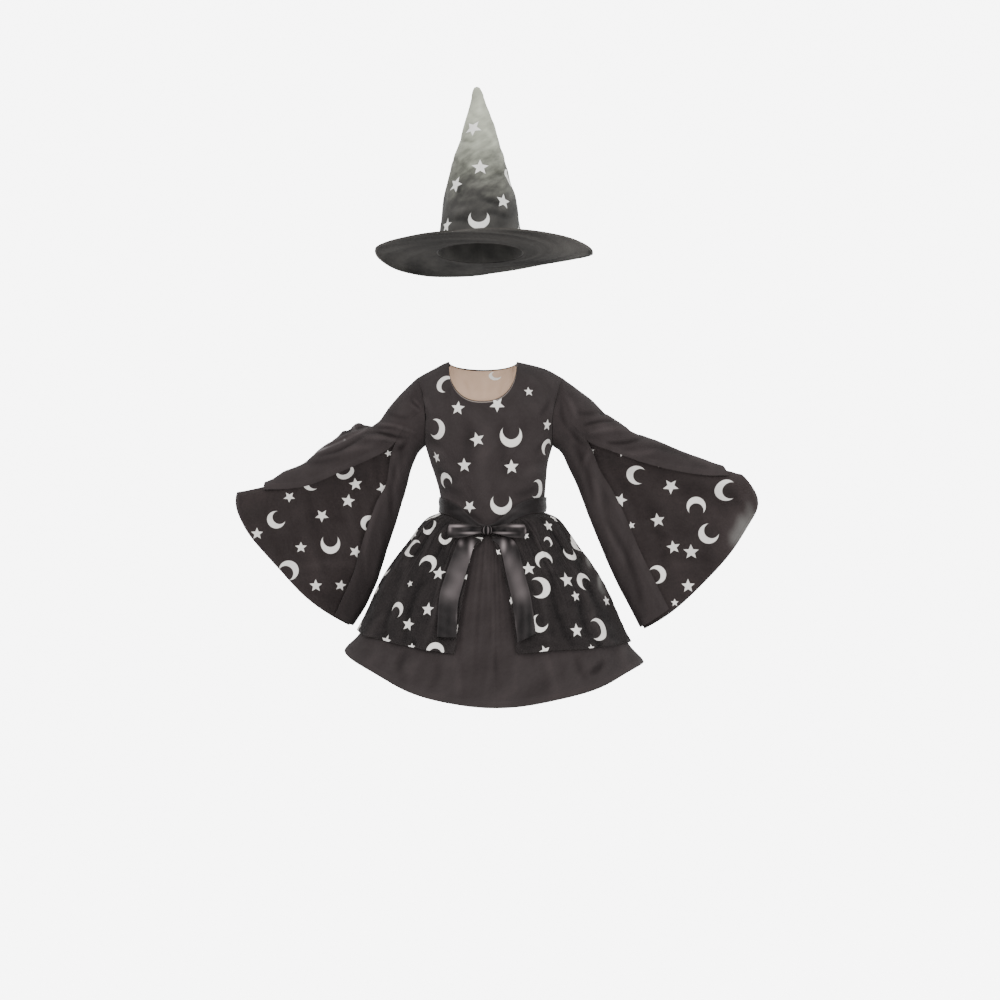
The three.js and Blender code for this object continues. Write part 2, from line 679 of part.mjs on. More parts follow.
// The same point, drawn in to the bodice's armhole edge near the shoulder.
function joinedSleevePoint(side, at, down, face, inset = 0) {
  const free = sleevePoint(side, at, down, face, inset);
  if (at >= 1) return free;
  const z = lerp(tipHeight, armpitHeight, down);
  const x = sideEdge(side, z);
  const away = (side === "left" ? 1 : -1) * lerp(0.5, 1.3, smoothstep(down, 0, 0.3));
  const edge = new THREE.Vector3(x + away, trunkDepth(x, z, face), z);
  const middle = new THREE.Vector3(x, 0, lerp(tipHeight, armpitHeight, 0.5));
  const inward = middle.sub(edge).setX(0);
  if (inward.length() > 1) edge.addScaledVector(inward.normalize(), inset);
  return edge.lerp(free, smoothstep(at, 0, 1));
}

// Shares of the way down: close together where the section turns, at the arm and at the low edge.
function turnShares(side, at, middleSteps, arcSteps) {
  const path = (name) => column(sleevePath[side], "at", name, at);
  const length = Math.hypot(path("topX") - path("lowX"), path("topZ") - path("lowZ"));
  const arc = (round) => steps(0, 1, arcSteps).map((t) => ((1 - Math.cos(t * quarter)) * round) / length);
  const first = arc(Math.min(column(sleeveRound, "at", "arm", at), length * 0.4));
  const last = arc(Math.min(column(sleeveRound, "at", "low", at), length * 0.3)).reverse();
  const between = steps(first[arcSteps], 1 - last[0], middleSteps).slice(1, -1);
  return [...first, ...between, ...last.map((d) => 1 - d)];
}

// The plain outer sleeve: from the flap's edge over the arm, down the back and up the front strip.
function addOuterSleeve(side) {
  const stations = [0, 0.4, 1, 2, 2.9, 3.5, 4.2, 5, 6, 7, 8, sleeveEnd];
  const rows = stations.map((station) => {
    const reach = station / sleeveEnd;
    const flap = column(sleeveCut[side], "at", "flap", reach * flapEnd) - apexSplit;
    const strip = column(sleeveCut[side], "at", "strip", reach * outerEnd) + apexSplit;
    const front = (down, end) => joinedSleevePoint(side, reach * end, down, -1);
    const over = [1, 0.78, 0.55, 0.32, 0.13].map((share) => front(flap * share, flapEnd));
    const behind = turnShares(side, station, 6, 3).map((down) => {
      const end = lerp(flapEnd, outerEnd, smoothstep(down, 0.02, 0.35));
      return joinedSleevePoint(side, reach * end, down, 1);
    });
    const under = [0.12, 0.35, 0.65, 1].map((share) => front(1 - share * (1 - strip), outerEnd));
    return [...over, ...behind, ...under];
  });
  const grid = rows[0].map((_, i) => rows.map((row) => row[i]));
  if (side === "left") grid.reverse();
  clothWall(`sleeve_outer_${side}`, blackKnit, grid, { wall: knitWall });
}

// The printed mesh sleeve inside it, a whole bell that reaches past the plain one at the wrist.
function addMeshSleeve(side) {
  const stations = [0.4, 1, 2, 2.9, 4.2, 5, 6, 7, 8, sleeveEnd];
  const rows = stations.map((at) => {
    const free = smoothstep(at, 0.4, 2);
    const inset = lerp((knitWall + meshWall) / 2 + 2 * layerGap, meshInset, free);
    const frontInset = inset + 2 * (1 - free);
    const shares = turnShares(side, at, 6, 3);
    const behind = shares.map((down) => joinedSleevePoint(side, at, down, 1, inset));
    const back = shares.slice(1, -1).reverse();
    const before = back.map((down) => joinedSleevePoint(side, at, down, -1, frontInset));
    return [...behind, ...before];
  });
  const grid = rows[0].map((_, i) => rows.map((row) => row[i]));
  if (side === "left") grid.reverse();
  clothWall(`sleeve_mesh_${side}`, printedMesh, grid, { wall: meshWall, wraps: true });
}

// Hat
const tilted = (point) => point.setZ(point.z - point.y * brimTilt);

function addCone() {
  const turns = 28;
  const heights = [...steps(coneRows[0].height, 440, 7), 462, 478];
  const grid = steps(0, turns - 1, turns - 1).map((i) => {
    const angle = (2 * Math.PI * i) / turns - Math.PI;
    return heights.map((height) => {
      const half = column(coneRows, "height", "half", height);
      const middle = column(coneRows, "height", "middle", height);
      const back = (height - brimHeight) * brimTilt;
      const y = -half * headStretch * Math.cos(angle);
      return tilted(new THREE.Vector3(middle + half * Math.sin(angle), y, height)).setY(y + back);
    });
  });
  const back = (hatApex.z - brimHeight) * brimTilt;
  const outer = new THREE.Vector3(hatApex.x, back, hatApex.z);
  const inner = new THREE.Vector3(hatApex.x + 0.6, back, hatApex.z - tipDepth);
  clothWall("hat_cone", greyFelt, grid, { wall: feltWall, wraps: true, tip: { outer, inner } });
}

function addBrim() {
  const turns = 44;
  const base = coneRows[0];
  const inset = feltWall / 2 + brimClear;
  const grid = steps(0, turns - 1, turns - 1).map((i) => {
    const angle = (2 * Math.PI * i) / turns - Math.PI;
    const across = Math.sin(angle);
    const ahead = -Math.cos(angle);
    return steps(1, 0, 4).map((out) => {
      const x = lerp(base.middle + (base.half + inset) * across, brimHalf * across, out);
      const y = lerp((base.half * headStretch + inset) * ahead, brimHalf * ahead, out);
      const twist = (brimTwist * x * Math.max(0, y)) / brimHalf ** 2;
      const wave = brimWave * out * Math.sin(3 * angle + 0.6);
      return tilted(new THREE.Vector3(x, y, brimHeight + twist * out + wave));
    });
  });
  clothWall("hat_brim", greyFelt, grid, { wall: feltWall, wraps: true });
}

addBodice();
addYoke();
for (const side of ["right", "left"]) {
  addOuterSleeve(side);
  addMeshSleeve(side);
}
addUnderskirt();
addOverskirt();
addSash();
addKnot();
addLoop("bow_loop_right", -1);
addLoop("bow_loop_left", 1);
addTail("bow_tail_right", tailRows.right);
addTail("bow_tail_left", tailRows.left);
addCone();
addBrim();

export default costume;
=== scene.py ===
# Witch costume: a dress with slit bell sleeves, a gathered overskirt and a satin bow, and a pointed hat.
# Surfaces are worked out in millimetres and turned to metres when a mesh is made.
import math
import bmesh
import bpy
import numpy as np
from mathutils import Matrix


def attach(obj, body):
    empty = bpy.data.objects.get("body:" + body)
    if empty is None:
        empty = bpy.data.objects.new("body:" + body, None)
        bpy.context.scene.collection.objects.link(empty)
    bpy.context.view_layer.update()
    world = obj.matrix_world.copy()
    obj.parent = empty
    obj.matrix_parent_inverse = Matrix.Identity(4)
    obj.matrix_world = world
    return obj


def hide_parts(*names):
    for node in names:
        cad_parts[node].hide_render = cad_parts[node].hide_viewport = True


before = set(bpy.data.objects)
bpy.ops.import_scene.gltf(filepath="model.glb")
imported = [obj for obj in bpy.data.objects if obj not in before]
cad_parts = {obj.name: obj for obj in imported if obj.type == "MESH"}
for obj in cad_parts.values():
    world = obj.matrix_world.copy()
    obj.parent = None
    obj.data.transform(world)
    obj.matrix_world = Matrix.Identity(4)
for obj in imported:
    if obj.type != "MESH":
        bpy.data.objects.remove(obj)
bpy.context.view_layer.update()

quarter = math.pi / 2


# Camera, light and stage
# The camera's distance and place and a pixel's size, in millimetres, and the picture's centre, in pixels
picture = {"far": 2800, "middleX": 28.8, "middleZ": -248.4, "pixel": 1.8, "centre": 500}
studio = {
    "lens": 56,
    "worldStrength": 1.26,
    "floorHeight": -1.17,
    "backdropGlow": 6,
    "domeRadius": 9,
    "lamps": {  # place, aim, size and power
        "key": ((-1.4, -2.6, 1.6), (0, 0, -0.1), 1.6, 32),
        "fill": ((1.9, -2.2, 0.4), (0, 0, -0.2), 1.8, 23),
        "top": ((0.2, 0.6, 2.2), (0, 0, 0), 1.6, 17),
    },
}


def makeCamera():
    lens = bpy.data.cameras.new("camera")
    lens.lens = studio["lens"]
    lens.sensor_width = 36
    camera = bpy.data.objects.new("camera", lens)
    camera.location = (picture["middleX"] / 1000, -picture["far"] / 1000, picture["middleZ"] / 1000)
    camera.rotation_euler = (quarter, 0, 0)
    bpy.context.collection.objects.link(camera)
    bpy.context.scene.camera = camera


makeCamera()
print("camera set")


# Number helpers
def table(names, *rows):
    return dict(zip(names.split(), np.array(rows, float).T))


def read(rows, key, name, at):  # one column of a table, on a smooth curve through its rows
    keys, values = rows[key], rows[name]
    if keys[0] > keys[-1]:
        keys, values = keys[::-1], values[::-1]
    last = len(keys) - 1
    place = np.clip(at, keys[0], keys[-1])
    i = np.clip(np.searchsorted(keys, place) - 1, 0, last - 1)
    before = np.maximum(np.arange(last + 1) - 1, 0)
    after = np.minimum(np.arange(last + 1) + 1, last)
    slope = (values[after] - values[before]) / (keys[after] - keys[before])
    span = keys[i + 1] - keys[i]
    t = (place - keys[i]) / span
    rise = values[i + 1] - values[i]
    bend = (slope[i] * (1 - t) - slope[i + 1] * t) * span
    return values[i] + rise * t + t * (1 - t) * (bend - rise * (1 - 2 * t))


def lerp(a, b, t):
    return a + (b - a) * t


def smoothstep(x, low, high):
    t = np.clip((x - low) / (high - low), 0, 1)
    return t * t * (3 - 2 * t)


def spaced(marks, count):  # this many values, evenly from mark to mark
    return np.interp(np.linspace(0, len(marks) - 1, count), np.arange(len(marks)), marks)


def stack(x, y, z):
    return np.stack(np.broadcast_arrays(x, y, z), axis=-1).astype(float)


def unit(v):
    return v / np.maximum(np.linalg.norm(v, axis=-1, keepdims=True), 1e-9)


def toPhoto(points):  # where the camera sees a point, in the picture's pixels
    scale = picture["far"] / (picture["far"] + points[..., 1]) / picture["pixel"]
    across = picture["centre"] + (points[..., 0] - picture["middleX"]) * scale
    down = picture["centre"] - (points[..., 2] - picture["middleZ"]) * scale
    return np.stack([across, down], axis=-1)


# Node maths
class Wire:  # a socket that sums can be written with
    def __init__(self, finish, socket):
        self.finish, self.socket = finish, socket

    def sum(self, operation, first, second=0.0):
        return self.finish.node("ShaderNodeMath", {"operation": operation}, {0: first, 1: second})

    def __add__(self, other):
        return self.sum("ADD", self, other)

    def __radd__(self, other):
        return self.sum("ADD", other, self)

    def __sub__(self, other):
        return self.sum("SUBTRACT", self, other)

    def __rsub__(self, other):
        return self.sum("SUBTRACT", other, self)

    def __mul__(self, other):
        return self.sum("MULTIPLY", self, other)

    def __truediv__(self, other):
        return self.sum("DIVIDE", self, other)

    def __pow__(self, other):
        return self.sum("POWER", self, other)

    def __abs__(self):
        return self.sum("ABSOLUTE", self)

    def least(self, other):
        return self.sum("MINIMUM", self, other)

    def most(self, other):
        return self.sum("MAXIMUM", self, other)

    def sine(self):
        return self.sum("SINE", self)

    def cosine(self):
        return self.sum("COSINE", self)

    def above(self, low, high):  # 0 below low and 1 above high, soft between
        ends = {"Value": self, "From Min": low, "From Max": high}
        return self.finish.node("ShaderNodeMapRange", {"interpolation_type": "SMOOTHSTEP"}, ends)


class Finish:  # a material in the making
    def __init__(self, name, constants):
        self.material = bpy.data.materials.new(name)
        self.material.use_nodes = True
        self.tree = self.material.node_tree
        self.tree.nodes.clear()
        self.shader = self.tree.nodes.new("ShaderNodeBsdfPrincipled")
        end = self.tree.nodes.new("ShaderNodeOutputMaterial")
        self.tree.links.new(self.shader.outputs[0], end.inputs[0])
        for socket, value in constants.items():
            self.shader.inputs[socket].default_value = value

    def node(self, kind, settings=None, inputs=None, output=0):
        made = self.tree.nodes.new(kind)
        for key, value in (settings or {}).items():
            setattr(made, key, value)
        for key, value in (inputs or {}).items():
            self.feed(made.inputs[key], value)
        return Wire(self, made.outputs[output])

    def feed(self, socket, value):
        if isinstance(value, Wire):
            self.tree.links.new(value.socket, socket)
        else:
            socket.default_value = value

    def wear(self, **sockets):  # what the shader shows, by its sockets' names without spaces
        names = {"colour": "Base Color", "roughness": "Roughness", "metallic": "Metallic", "alpha": "Alpha"}
        for key, value in sockets.items():
            self.feed(self.shader.inputs[names[key]], value)

    def parts(self, name):
        vector = self.node("ShaderNodeAttribute", {"attribute_name": name}, output="Vector")
        return [self.node("ShaderNodeSeparateXYZ", None, {0: vector}, output=i) for i in range(3)]

    def noise(self, place, scale, detail=2.0):
        settings = {"noise_dimensions": "3D"}
        return self.node("ShaderNodeTexNoise", settings, {"Vector": place, "Scale": scale, "Detail": detail})

    def place(self, x, y):
        return self.node("ShaderNodeCombineXYZ", None, {0: x, 1: y})

    def blend(self, mask, first, second):  # of two colours
        return self.node("ShaderNodeMix", {"data_type": "RGBA"}, {0: mask, 6: first, 7: second}, output=2)

    def bump(self, height, strength, distance):
        values = {"Strength": strength, "Distance": distance, "Height": height}
        self.feed(self.shader.inputs["Normal"], self.node("ShaderNodeBump", None, values))


# Finishes of the cloths
prints = {
    "silver": (0.98, 0.95, 0.91, 1),
    "worn": (0.7, 0.67, 0.63, 1),
    "starInner": 0.45,
    "hollowRadius": 0.78,
    "hollowOff": 0.45,
    "soft": 0.035,
    "rough": 0.46,
    "metal": 0.25,
}


def printMask(look, across, down):  # stars and crescents, from each point's place in its own motif
    x, y, kind = look.parts("motif")
    grain = look.noise(look.place(across, down), 1.4) - 0.5
    angle = look.node("ShaderNodeMath", {"operation": "ARCTAN2"}, {0: x, 1: y})
    radius = (x * x + y * y) ** 0.5
    fifth = 2 * math.pi / 5
    turned = look.node("ShaderNodeMath", {"operation": "FLOORED_MODULO"}, {0: angle + fifth / 2, 1: fifth})
    folded = abs(turned - fifth / 2)
    inX = prints["starInner"] * math.cos(fifth / 2)
    inY = prints["starInner"] * math.sin(fifth / 2)
    edge = math.hypot(inX - 1, inY)
    star = (radius * folded.sine() * (inX - 1) - (radius * folded.cosine() - 1) * inY) / edge
    shifted = x + prints["hollowOff"]  # the bulge points along +x
    hollow = (shifted * shifted + y * y) ** 0.5 - prints["hollowRadius"]
    crescent = (1 - radius).least(hollow)
    isMoon = kind.above(0.4, 0.6)
    inside = star * (1 - isMoon) + crescent * isMoon + grain * 0.06
    return inside.above(-prints["soft"], prints["soft"])


def clothFinish(name, look):
    gloss = {"Specular IOR Level": look["gloss"], "Sheen Weight": look["sheen"], "Sheen Roughness": 0.5}
    made = Finish(name, {"Roughness": look["rough"], **gloss})
    across, down, hem = made.parts("flat")
    fold = made.node("ShaderNodeAttribute", {"attribute_name": "fold"}, output="Fac")
    flat = made.place(across, down)
    cloud = made.noise(flat, 0.022, 3.0)
    mottle = made.noise(flat, look["mottleScale"], 4.0)
    yarn = made.noise(flat, 2.2, 1.0)
    ribs = (across * (2 * math.pi / look["rib"])).sine()
    rows = (down * (2 * math.pi / look["row"])).sine()
    if look["weave"] == "knit":  # ribs of small loops
        weave = ribs * 0.6 + (rows * ribs) * 0.4
    elif look["weave"] == "net":  # small round holes
        weave = ribs * rows
    elif look["weave"] == "satin":  # long floats that run down the ribbon
        weave = ribs * 0.35 + made.noise(made.place(across * 2.4, down * 0.05), 1.0) * 1.6
    else:  # felt
        weave = made.noise(flat, 0.9, 4.0) * 2.4
    stitch = abs(hem - look["stitchAt"])
    thread = (1 - stitch.above(0.25, 0.75)) * ((across + down) * (2 * math.pi / 3.2)).sine().above(-0.6, -0.2)
    turn = hem.above(look["stitchAt"] + 0.5, look["stitchAt"] + 2.5)  # a hem ends a little past its stitches
    # the fold attribute's painted light and shade joins the cloth's own tone here
    shade = (cloud - 0.5) * look["cloudy"] + (mottle - 0.5) * look["mottled"] + fold * look["foldShade"]
    shade = shade + (yarn - 0.5) * look["yarny"] + weave * look["weaveShade"] + (1 - turn) * look["hemShade"]
    shade = (shade + look["level"]).most(0.0).least(1.0)
    colour = made.blend(shade, look["dark"], look["pale"])
    if look.get("fade"):  # the colour pales along the cloth
        share = down / look["fade"]["length"] + (mottle - 0.5) * 0.3 + (cloud - 0.5) * 0.25
        share = share.above(look["fade"]["start"], 1.0)
        pale = made.blend(shade, look["fade"]["dark"], look["fade"]["pale"])
        colour = made.blend(share, colour, pale)
    if look["paintedLightColour"]:  # painted light: the palest places, where light comes through the cloth or lies on an edge
        colour = made.blend(fold.above(0.6, 1.5), colour, look["paintedLightColour"])
    if "edge" in look:
        colour = made.blend(1 - turn, colour, look["edge"])
    colour = made.blend(thread * look["threadShow"], colour, look["thread"])
    height = weave * look["weaveHeight"] + yarn * 0.3 - thread * 1.2 - turn
    rough = (yarn - 0.5) * 0.14 + look["rough"]
    alpha = look["alpha"] + weave * 0.02 if "alpha" in look else None
    if look["printed"]:
        mask = printMask(made, across, down)
        glitter = made.noise(flat, 1.1, 3.0)
        paint = {**prints, **look}
        silver = made.blend(glitter.above(0.3, 0.72), paint["worn"], paint["silver"])
        colour = made.blend(mask, colour, silver)
        height = height * (1 - mask * 0.6) + mask * (0.8 + glitter * 1.2)
        rough = rough * (1 - mask) + mask * (prints["rough"] + (glitter - 0.5) * 0.3)
        made.wear(metallic=mask * prints["metal"])
        if alpha is not None:
            alpha = alpha * (1 - mask) + mask
    made.wear(colour=colour, roughness=rough)
    if alpha is not None:
        made.wear(alpha=alpha)
    made.bump(height, look["bump"], 0.0006)
    return made.material


knit = {
    "dark": (0.0134, 0.0097, 0.0097, 1), "pale": (0.048, 0.0384, 0.0384, 1), "level": 0.5, "yarny": 0.16,
    "weaveShade": 0.05, "rough": 0.9, "sheen": 0.042, "gloss": 0.21, "paintedLightColour": (0.142, 0.133, 0.133, 1),
    "weave": "knit", "rib": 1.15, "row": 1.5, "weaveHeight": 0.55, "bump": 0.35,
    "cloudy": 0.5, "mottleScale": 0.11, "mottled": 0.25, "foldShade": 1.0,
    "stitchAt": 12.0, "hemShade": 0.12, "thread": (0.02, 0.017, 0.017, 1), "threadShow": 0.6,
    "printed": False,
}
printedKnit = {**knit, "printed": True, "stitchAt": 0.2, "edge": (0.26, 0.22, 0.2, 1), "threadShow": 0.0}
net = {
    **knit, "dark": (0.0033, 0.0024, 0.0024, 1), "pale": (0.0305, 0.025, 0.0246, 1), "weave": "net",
    "foldShade": 0.9, "yarny": 0.07, "weaveShade": 0.03, "bump": 0.18, "paintedLightColour": (0.158, 0.154, 0.146, 1),
    "rib": 1.0, "row": 1.0, "sheen": 0.03, "stitchAt": 6.0, "hemShade": 0.06, "alpha": 0.93, "printed": True,
    "threadShow": 0.3,
}
sleeveNet = {
    **net, "dark": (0.0102, 0.0067, 0.0065, 1), "pale": (0.0437, 0.0337, 0.0333, 1), "foldShade": 0.55,
    "alpha": 0.95,
}
nude = {
    **knit, "dark": (0.383, 0.25, 0.167, 1), "pale": (0.717, 0.508, 0.375, 1), "weave": "net",
    "rib": 0.9, "row": 0.9, "stitchAt": 3.0, "hemShade": -0.12, "thread": (0.5, 0.4, 0.3, 1),
    "threadShow": 0.5, "alpha": 0.9,
    "cloudy": 0.35, "mottled": 0.12, "printed": True,
}
# the satin's pale colour is reached only where painted highlights lift the shade
satin = {
    **knit, "dark": (0.0017, 0.0013, 0.0013, 1), "pale": (0.52, 0.446, 0.45, 1), "rough": 0.36, "sheen": 0.0,
    "level": 0.022, "cloudy": 0.02, "yarny": 0.01, "weaveShade": 0.006, "paintedLightColour": None,
    "weave": "satin", "rib": 0.5, "row": 0.5, "gloss": 0.09, "weaveHeight": 0.3, "bump": 0.22,
    "mottled": 0.02, "stitchAt": 0.7, "hemShade": 0.015, "threadShow": 0.0, "foldShade": 0.5,
}
felt = {
    **knit, "paintedLightColour": None, "dark": (0.0098, 0.0094, 0.0086, 1), "pale": (0.073, 0.0697, 0.064, 1),
    "rough": 0.68, "sheen": 0.04, "weave": "felt", "weaveHeight": 0.6, "bump": 0.5, "cloudy": 0.6,
    "mottleScale": 0.07, "mottled": 0.5,
    "stitchAt": 2.5, "hemShade": 0.1, "thread": (0.2, 0.195, 0.18, 1), "threadShow": 0.8, "printed": True,
    "worn": (0.8, 0.79, 0.75, 1), "silver": (0.98, 0.97, 0.93, 1),
    "fade": {"length": 285, "start": 0.24, "dark": (0.25, 0.258, 0.208, 1), "pale": (0.55, 0.575, 0.46, 1)},
}
brimFelt = {
    **felt, "dark": (0.005, 0.0042, 0.0037, 1), "pale": (0.108, 0.1015, 0.093, 1), "sheen": 0.0,
    "gloss": 0.05, "level": 0.2, "cloudy": 0.3, "mottled": 0.25, "yarny": 0.08, "fade": None,
    "printed": False,
}

finishes = {
    "printed_knit": clothFinish("printed_knit_cloth", printedKnit),
    "plain_knit": clothFinish("plain_knit_cloth", knit),
    "printed_mesh": clothFinish("printed_mesh_cloth", net),
    "sleeve_mesh": clothFinish("sleeve_mesh_cloth", sleeveNet),
    "nude_mesh": clothFinish("nude_mesh_cloth", nude),
    "dark_satin": clothFinish("dark_satin_ribbon", satin),
    "grey_felt": clothFinish("crumpled_felt", felt),
    "brim_felt": clothFinish("brim_felt", brimFelt),
}
print("finishes made")


# Cloth walls: an outer and an inner skin on a grid of points, joined at the edges
noHem, noMotif = 500.0, 900.0  # what a point holds where no hem or motif is near
motifCut = {"moon": 19.5, "star": 12.8, "moonShare": 0.45, "tries": 6000, "around": 0.8}
clothDefaults = {
    "wraps": False, "flatEdge": False, "only": "both", "mirror": None, "uneven": 0.35, "unevenLength": 45,
    "hems": (), "hemWide": 12, "hemThick": 0.35, "openFrom": 0, "seams": (), "heldFor": 12, "spacing": 44,
}


def outward(grid, wraps):
    if wraps:
        ahead, behind = np.roll(grid, -1, axis=0), np.roll(grid, 1, axis=0)
        across = ahead - behind
    else:
        across = np.gradient(grid, axis=0)
    along = np.gradient(grid, axis=1)
    return unit(np.cross(across, along))


def flatPlaces(grid):  # how far each point is from the first column and from the low row, along the cloth
    steps = np.linalg.norm(np.diff(grid, axis=0), axis=-1)
    across = np.concatenate([np.zeros((1, grid.shape[1])), np.cumsum(steps, axis=0)])
    rises = np.linalg.norm(np.diff(grid, axis=1), axis=-1)
    down = np.concatenate([np.zeros((grid.shape[0], 1)), np.cumsum(rises, axis=1)], axis=1)
    return across, down


def hemDistance(across, down, edges):
    far = np.full(across.shape, noHem)
    if "start" in edges:
        far = np.minimum(far, across)
    if "end" in edges:
        far = np.minimum(far, across[-1:] - across)
    if "low" in edges:
        far = np.minimum(far, down)
    if "high" in edges:
        far = np.minimum(far, down[:, -1:] - down)
    if "neck" in edges:  # the middle of the high edge, without the shoulders
        share = np.linspace(0, 1, len(down))[:, None]
        far = np.where((share > 0.21) & (share < 0.79), np.minimum(far, down[:, -1:] - down), far)
    return far


def alongLine(pixels, rows, i):  # share walked along a short line, and how far beside it and beyond it
    start = np.array([rows["fromX"][i], rows["fromY"][i]])
    way = np.array([rows["toX"][i], rows["toY"][i]]) - start
    length = np.linalg.norm(way)
    away = pixels - start
    share = (away @ way) / length**2
    side = (away[..., 0] * way[1] - away[..., 1] * way[0]) / length
    beyond = np.maximum(0, np.maximum(-share, share - 1)) * length
    return share, side, beyond, length


def foldField(pixels, folds):  # soft troughs (depth below 0) and ridges along short lines of the picture
    field = np.zeros(pixels.shape[:2])
    for i in range(len(folds["depth"])):
        share, side, beyond, length = alongLine(pixels, folds, i)
        bow = 0.06 * length * np.sin(math.pi * np.clip(share, 0, 1)) * (1 if i % 2 else -1)
        taper = np.sin(math.pi * np.clip(share * 0.8 + 0.12, 0, 1)) ** 0.7
        reach = ((side + bow) / folds["width"][i]) ** 2 + (beyond / folds["width"][i]) ** 2
        field += folds["depth"][i] * taper * (1 - 0.9 * reach) * np.exp(-reach)
    return field


def gatherField(columns, rows, gathers, seed):  # small pleats from the seam above, fading on the way down
    rng = np.random.default_rng(seed + 100)
    share = np.linspace(0, 1, columns)[:, None]
    up = np.linspace(0, 1, rows)[None, :]

    def wave(turns):
        return np.sin(2 * math.pi * (turns * share + rng.random()))

    wander = sum(rng.uniform(0.15, 0.5) * wave(turns) for turns in (2, 3, 5, 8))
    reach = gathers["end"] + 0.16 * wave(gathers["count"] / 2.7)
    fade = smoothstep(up, reach - 0.35, reach + 0.35)
    fade = fade * (1 - 0.75 * smoothstep(up, 0.93, 1))
    size = 0.7 + 0.3 * wave(gathers["count"] / 3.6)
    return gathers["depth"] * fade * size * np.sin(2 * math.pi * (gathers["count"] * share + wander))


def lightAndShadeField(pixels, lightAndShade):  # soft painted light and shade, paler and darker places, in the picture's pixels
    total = np.zeros(pixels.shape[:2])
    for i in range(len(lightAndShade["amount"])):
        x, y = pixels[..., 0] - lightAndShade["x"][i], pixels[..., 1] - lightAndShade["y"][i]
        total += lightAndShade["amount"][i] * np.exp(-((x / lightAndShade["wide"][i]) ** 2) - (y / lightAndShade["tall"][i]) ** 2)
    return total


def highlightLineField(pixels, streaks):  # soft painted highlight lines, and painted dark lines where the amount is below 0, in the picture's pixels
    total = np.zeros(pixels.shape[:2])
    for i in range(len(streaks["amount"])):
        _, side, beyond, _ = alongLine(pixels, streaks, i)
        total += streaks["amount"][i] * np.exp(-(side**2 + beyond**2) / streaks["width"][i] ** 2)
    return total


def hiddenFolds(folds, middle, seed):  # similar folds for the side that the picture doesn't show
    rng = np.random.default_rng(seed)
    count = len(folds["depth"])
    moved = {key: values.copy() for key, values in folds.items()}
    shiftX, shiftY = rng.uniform(-7, 7, count), rng.uniform(-6, 6, count)
    for end in ("from", "to"):
        moved[end + "X"] = (2 * middle - folds[end + "X"] if middle else folds[end + "X"]) + shiftX
        moved[end + "Y"] = folds[end + "Y"] + shiftY
    moved["depth"] = folds["depth"] * rng.uniform(0.6, 1.1, count)
    return moved


def ripple(across, down, amount, length, seed):  # small unevenness of cloth
    rng = np.random.default_rng(seed)
    total = np.zeros(across.shape)
    for _ in range(7):
        angle, phase = rng.uniform(0, math.pi), rng.uniform(0, 2 * math.pi)
        size = length * rng.uniform(0.6, 1.8)
        total += np.sin(2 * math.pi * (across * math.cos(angle) + down * math.sin(angle)) / size + phase)
    return amount * total / 4


def motifPlaces(points, faces, normals, motifs):  # each face's corners in the motif that it is nearest to
    places = np.full((len(faces), 4, 3), noMotif)
    nearest = np.full(len(faces), 1e9)
    centres, facings = points[faces].mean(1), unit(normals[faces].sum(1))
    for centre, facing, size, turn, kind in motifs:
        far = np.linalg.norm(centres - centre, axis=1)
        near = (far < size * 1.3 + 5) & (facings @ facing > 0.1) & (far / size < nearest)
        nearest[near] = far[near] / size
        up = unit(np.array([0, 0, 1.0]) - facing * facing[2])
        right = np.cross(up, facing)
        away = points[faces[near]] - centre
        x, y = away @ right / size, away @ up / size
        cosine, sine = math.cos(turn), math.sin(turn)
        kinds = np.full(x.shape, kind)
        places[near] = np.stack([x * cosine + y * sine, y * cosine - x * sine, kinds], axis=-1)
    return places


def seenMotifs(points, normals, rows):  # motifs at the picture's pixels, on the side that faces the camera
    pixels = toPhoto(points)
    front = normals[:, 1] < 0.02
    found = []
    for kind, x, y, size, turn in zip(*(rows[k] for k in ("moon", "x", "y", "size", "turn"))):
        gap = np.hypot(pixels[:, 0] - x, pixels[:, 1] - y) + np.where(front, 0, 1000)
        close = np.argsort(gap)[:4]
        share = 1 / (gap[close] + 0.05)
        centre = (points[close] * share[:, None]).sum(0) / share.sum()
        radius = size * picture["pixel"]
        around = (np.linalg.norm(points - centre, axis=1) < radius * motifCut["around"]) & front
        facing = unit(normals[around].sum(0)) if around.any() else normals[close[0]]
        found.append((centre, facing, radius, math.radians(turn), kind))
    return found


def hiddenMotifs(points, normals, taken, allowed, spacing, seed):  # similar ones elsewhere
    rng = np.random.default_rng(seed)
    centres = [row[0] for row in taken]
    found = []
    for i in rng.permutation(np.flatnonzero(allowed))[:motifCut["tries"]]:
        if centres and np.min(np.linalg.norm(np.array(centres) - points[i], axis=1)) < spacing:
            continue
        moon = rng.random() < motifCut["moonShare"]
        size = motifCut["moon" if moon else "star"]
        near = np.linalg.norm(points - points[i], axis=1) < size * motifCut["around"]
        facing = unit(normals[near & allowed].sum(0))
        found.append((points[i], facing, size, rng.uniform(0, 2 * math.pi), float(moon)))
        centres.append(points[i])
    return found


